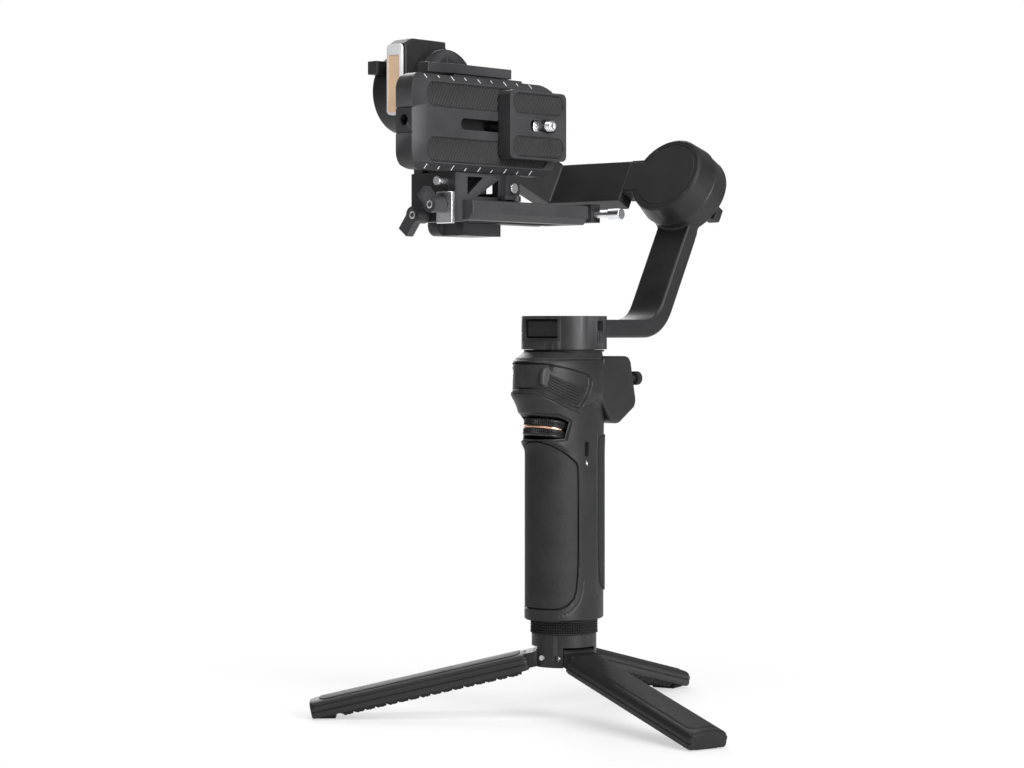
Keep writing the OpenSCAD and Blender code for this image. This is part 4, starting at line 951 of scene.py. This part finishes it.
def light_head():
    """The fill light: a white bezel in a dark housing on top of the tilt motor."""
    low, high = box_mm("light_frame")
    front, mid_x, mid_z = low[1], (low[0] + high[0]) / 2, (low[2] + high[2]) / 2
    half_w, half_h = (high[0] - low[0]) / 2, (high[2] - low[2]) / 2
    outer, inner = [], []
    wide, narrow = BEZEL_CORNER, PANEL_CORNER
    for k in range(BEZEL_POINTS):
        a = k * 2 * math.pi / BEZEL_POINTS
        c, q = math.cos(a), math.sin(a)
        outer.append((mid_x + math.copysign(half_w - wide, c) + wide * c,
                      mid_z + math.copysign(half_h - wide, q) + wide * q))
        inner.append((mid_x + math.copysign(half_w - BEZEL_LIP - narrow, c) + narrow * c,
                      mid_z - 2.6 + math.copysign(half_h - 4.0 - narrow, q) + narrow * q))
    rings = [(outer, front + 2.6), (outer, front + 0.4), (inner, front), (inner, front + 0.9)]
    verts, faces = [], []
    for ring, y in rings:
        verts += [(x, y, z) for x, z in ring]
    for r in range(len(rings)):
        for k in range(BEZEL_POINTS):
            j = (k + 1) % BEZEL_POINTS
            a, b = r * BEZEL_POINTS, ((r + 1) % len(rings)) * BEZEL_POINTS
            faces.append((a + k, a + j, b + j, b + k))
    new_piece("light_bezel", verts, faces, "roll_arm", "light_white",
              ("light_frame",), angle=30)
    crown = high[2] + 3.5
    outline = [(front + 1.8, low[2] + 0.8), (front + 1.8, high[2] - 0.4), (front + 8, crown),
               (front + 33, crown), (front + 40, high[2] - 2), (front + 40, high[2] - 12),
               (front + 22, mid_z), (front + 12, low[2] + 2)]
    verts, faces = outline_prism(outline, low[0] - 1.2, high[0] + 1.4, "YZ")
    piece = new_piece("light_housing", verts, faces, "roll_arm", "shell")
    soften(piece, 1.6, segments=5)


# ---------------------------------------------------------------- folding legs

LEG_SLOPE = math.radians(12.6)
LEG_HALF = 12.6
LEG_TOP = 4.9
LEG_LOW = -5.3
LEG_LENGTH = 134.1
BODY_START = 8.2
KNUCKLE_R = 5.2


def leg_frame(name):
    place = Vector(JOINTS[name + "_fold"]["pos_m"]) / MM
    turn = math.atan2(place.y, place.x)
    radius = math.hypot(place.x, place.y)
    return (Matrix.Rotation(turn, 4, "Z") @ Matrix.Translation((radius, 0, place.z))
            @ Matrix.Rotation(LEG_SLOPE, 4, "Y"))


def leg_section():
    """The cross-section as (y, z): arched back, shoulder ridge, straight side and flat belly."""
    arch = []
    for a in np.linspace(0, math.pi, 41):
        c, s = math.cos(a), math.sin(a)
        arch.append((11.8 * math.copysign(abs(c) ** 0.9, c), 1.3 + (LEG_TOP - 1.3) * s ** 0.85))
    right = [(LEG_HALF - 0.3, LEG_LOW + 1.2), (LEG_HALF - 0.1, -2.0), (LEG_HALF - 0.45, -1.75),
             (LEG_HALF - 0.45, -1.45), (LEG_HALF, -1.2), (LEG_HALF, 0.6), (LEG_HALF - 0.3, 1.0)]
    left = [(-y, z) for y, z in reversed(right)]
    belly = [(-LEG_HALF + 1.4, LEG_LOW), (0, LEG_LOW), (LEG_HALF - 1.4, LEG_LOW)]
    return np.array(right + arch + left + belly)


def leg_ground(x, frame_at):
    """Height of the floor under a leg, along the leg's own upward direction."""
    return (FLOOR_Z - frame_at.translation.z + x * math.sin(LEG_SLOPE)) / math.cos(LEG_SLOPE)


def leg_shell(name, frame_at, length):
    """The leg's body, with rounded ends, cut level where it would pass the floor."""
    outline = leg_section()
    ends = 3.2
    stations = [BODY_START + ends * (1 - math.cos(a)) for a in np.linspace(0, math.pi / 2, 8)]
    stations += list(np.linspace(BODY_START + ends + 4, length - ends - 2, 26))
    stations += [length - ends + ends * math.sin(a) for a in np.linspace(0, math.pi / 2, 8)]
    grid = []
    for x in stations:
        inner = np.clip((BODY_START + ends - x) / ends, 0, 1)
        outer = np.clip((x - length + ends) / ends, 0, 1)
        t = max(inner, outer)
        squeeze = 1 - 0.12 * (1 - math.sqrt(max(1 - t * t, 0)))
        ring = outline * [squeeze, squeeze] + [0, 0]
        grid.append(np.column_stack([np.full(len(ring), x), ring]))
    points = np.array(grid)
    points[..., 2] = np.maximum(points[..., 2], leg_ground(points[..., 0], frame_at) + 0.05)
    verts, faces = ring_stack(points)
    verts = apply_frame(frame_at, verts)
    new_piece(name + "_shell", verts, faces, name, "leg_shell", (name,), 28)


def arch_height(y):
    c = np.clip(np.abs(y) / 11.8, 0, 1) ** (1 / 0.9)
    return 1.3 + (LEG_TOP - 1.3) * np.clip(1 - c ** 2, 0, 1) ** (0.85 / 2)


def leg_inlay(name, frame_at, length):
    """The grained panel along the arched back, proud of a shallow border."""
    half, corner = 9.0, 5.0
    start, end = BODY_START + 3.0, length - 5.5
    columns, rows = 36, 240
    x = start + (end - start) * (0.5 - 0.5 * np.cos(math.pi * np.linspace(0, 1, rows)))
    to_end = np.minimum(x - start, end - x)
    inset = np.clip(corner - to_end, 0, corner)
    width = half - corner + np.sqrt(np.clip(corner ** 2 - inset ** 2, 0, None))
    y = width[:, None] * np.linspace(-1, 1, columns)[None, :]
    xx = np.repeat(x[:, None], columns, 1)
    rim = np.minimum(width[:, None] - np.abs(y), to_end[:, None])
    rise = 0.5 * smooth(rim / 0.7) - 0.12
    z = np.minimum(arch_height(y) + rise, LEG_TOP + 0.4)
    skin = apply_frame(frame_at, np.stack([xx, y, z], -1).reshape(-1, 3)).reshape(rows, columns, 3)
    back = apply_frame(frame_at, np.stack([xx, y, arch_height(y) - 0.8], -1).reshape(-1, 3))
    closed_patch(name + "_inlay", skin, back.reshape(rows, columns, 3), name,
                 "leg_grain", (), angle=40)


def leg_tread(name, frame_at, length):
    """Moulded rubber blocks under the leg."""
    start, end, half = BODY_START + 4, length - 15.5, 8.2
    rows, columns = 260, 40
    x = np.linspace(start, end, rows)[:, None]
    y = np.linspace(-half, half, columns)[None, :]
    xx, yy = np.broadcast_to(x, (rows, columns)), np.broadcast_to(y, (rows, columns))
    cell_x, cell_y = xx / 6.4, yy / 5.5
    wedge = np.maximum(triangle(cell_x + 0.35 * triangle(cell_y)), 0)
    blocks = smooth((wedge - 0.22) / 0.16) * smooth((triangle(cell_y * 0.5 + 0.25) - 0.06) / 0.12)
    fine = 0.25 * np.sin(cell_x * 17) * np.cos(cell_y * 13)
    border = smooth((half - np.abs(yy)) / 1.2) * smooth((xx - start) / 1.5) * smooth((end - xx) / 1.5)
    drop = (0.5 + (1.75 + fine) * blocks) * border
    skin = np.stack([xx, -yy, LEG_LOW - drop], -1)
    back = np.stack([xx, -yy, np.full_like(drop, LEG_LOW + 0.8)], -1)
    skin = apply_frame(frame_at, skin.reshape(-1, 3)).reshape(rows, columns, 3)
    back = apply_frame(frame_at, back.reshape(-1, 3)).reshape(rows, columns, 3)
    closed_patch(name + "_tread", skin, back, name, "soft_rubber", (), angle=35)


def leg_foot(name, frame_at, length):
    """The wedge that stands on the ground."""
    slope = math.tan(LEG_SLOPE)
    base = (FLOOR_Z - frame_at.translation.z) / math.cos(LEG_SLOPE) + 0.02
    inner, outer = length - 12.6, length - 1.6
    verts = []
    for x, top in ((inner, LEG_LOW + 0.6), (outer, LEG_LOW + 0.6)):
        ground = min(base + x * slope, LEG_LOW + 0.1)
        verts += [(x, -9.2, top), (x, 9.2, top), (x, 7.0, ground), (x, -7.0, ground)]
    faces = [(0, 1, 2, 3), (7, 6, 5, 4), (0, 4, 5, 1), (1, 5, 6, 2), (2, 6, 7, 3), (3, 7, 4, 0)]
    piece = new_piece(name + "_foot", apply_frame(frame_at, np.array(verts)), faces, name,
                      "soft_rubber")
    soften(piece, 0.35)


def leg_knuckle(name, frame_at):
    """The hinge barrel and its neck."""
    turned = frame_at @ Matrix.Rotation(-math.pi / 2, 4, "X")
    barrel = [(KNUCKLE_R - 0.4, -9.9), (KNUCKLE_R - 0.05, -9.5), (KNUCKLE_R - 0.05, 9.5),
              (KNUCKLE_R - 0.4, 9.9), (1.75, 9.9), (1.75, -9.9)]
    lathe(name + "_barrel", barrel, 72, turned, name, "leg_shell")
    neck = [(3.0, LEG_LOW + 0.9), (BODY_START + 1.6, LEG_LOW + 0.9), (BODY_START + 1.6, LEG_TOP - 0.6),
            (3.0, LEG_TOP - 0.9)]
    verts, faces = outline_prism(neck, -9.7, 9.7, "XZ")
    piece = new_piece(name + "_neck", apply_frame(frame_at, np.array(verts)), faces, name,
                      "leg_shell")
    soften(piece, 0.5)


def legs():
    for name in ("leg_a", "leg_b", "leg_c"):
        frame_at = leg_frame(name)
        leg_shell(name, frame_at, LEG_LENGTH)
        leg_inlay(name, frame_at, LEG_LENGTH)
        leg_tread(name, frame_at, LEG_LENGTH)
        leg_foot(name, frame_at, LEG_LENGTH)
        leg_knuckle(name, frame_at)


# ---------------------------------------------------------------- everything, in order

def make_lights():
    area_light("key", (1.9, -0.25, 0.75), (0, 0, 0.2), (0.7, 1.6), 46)
    area_light("top", (0.3, -0.6, 1.9), (0, 0, 0.3), (1.2, 1.0), 18)
    area_light("rim", (-1.3, 0.9, 0.9), (0, 0, 0.25), (0.8, 1.6), 20)


def make_small_parts():
    for side in ("upper", "lower"):
        lever = side + "_thumb_lever"
        knob_socket(side + "_knob_screw", lever + "_turn", lever, lever)
    for plate, height, corner in (("long", 14, 6), ("camera", 12, 2)):
        body, pads = plate + "_plate", plate + "_plate_pads"
        hatched_pad(plate + "_pad_upper", pads, body, 1, height, corner, (pads,))
        hatched_pad(plate + "_pad_lower", pads, body, -1, height, corner)


make_camera()
make_world()
make_floor()
make_lights()
make_materials()
dress_cad()
handle_body()
grip_panel()
back_panel()
charge_symbol()
lock_ring_knurl()
focus_wheel_detail()
threaded_screw()
make_small_parts()
plate_marks()
trigger_cheek()
pod_shell()
light_head()
legs()

bpy.context.scene.view_settings.view_transform = "Standard"
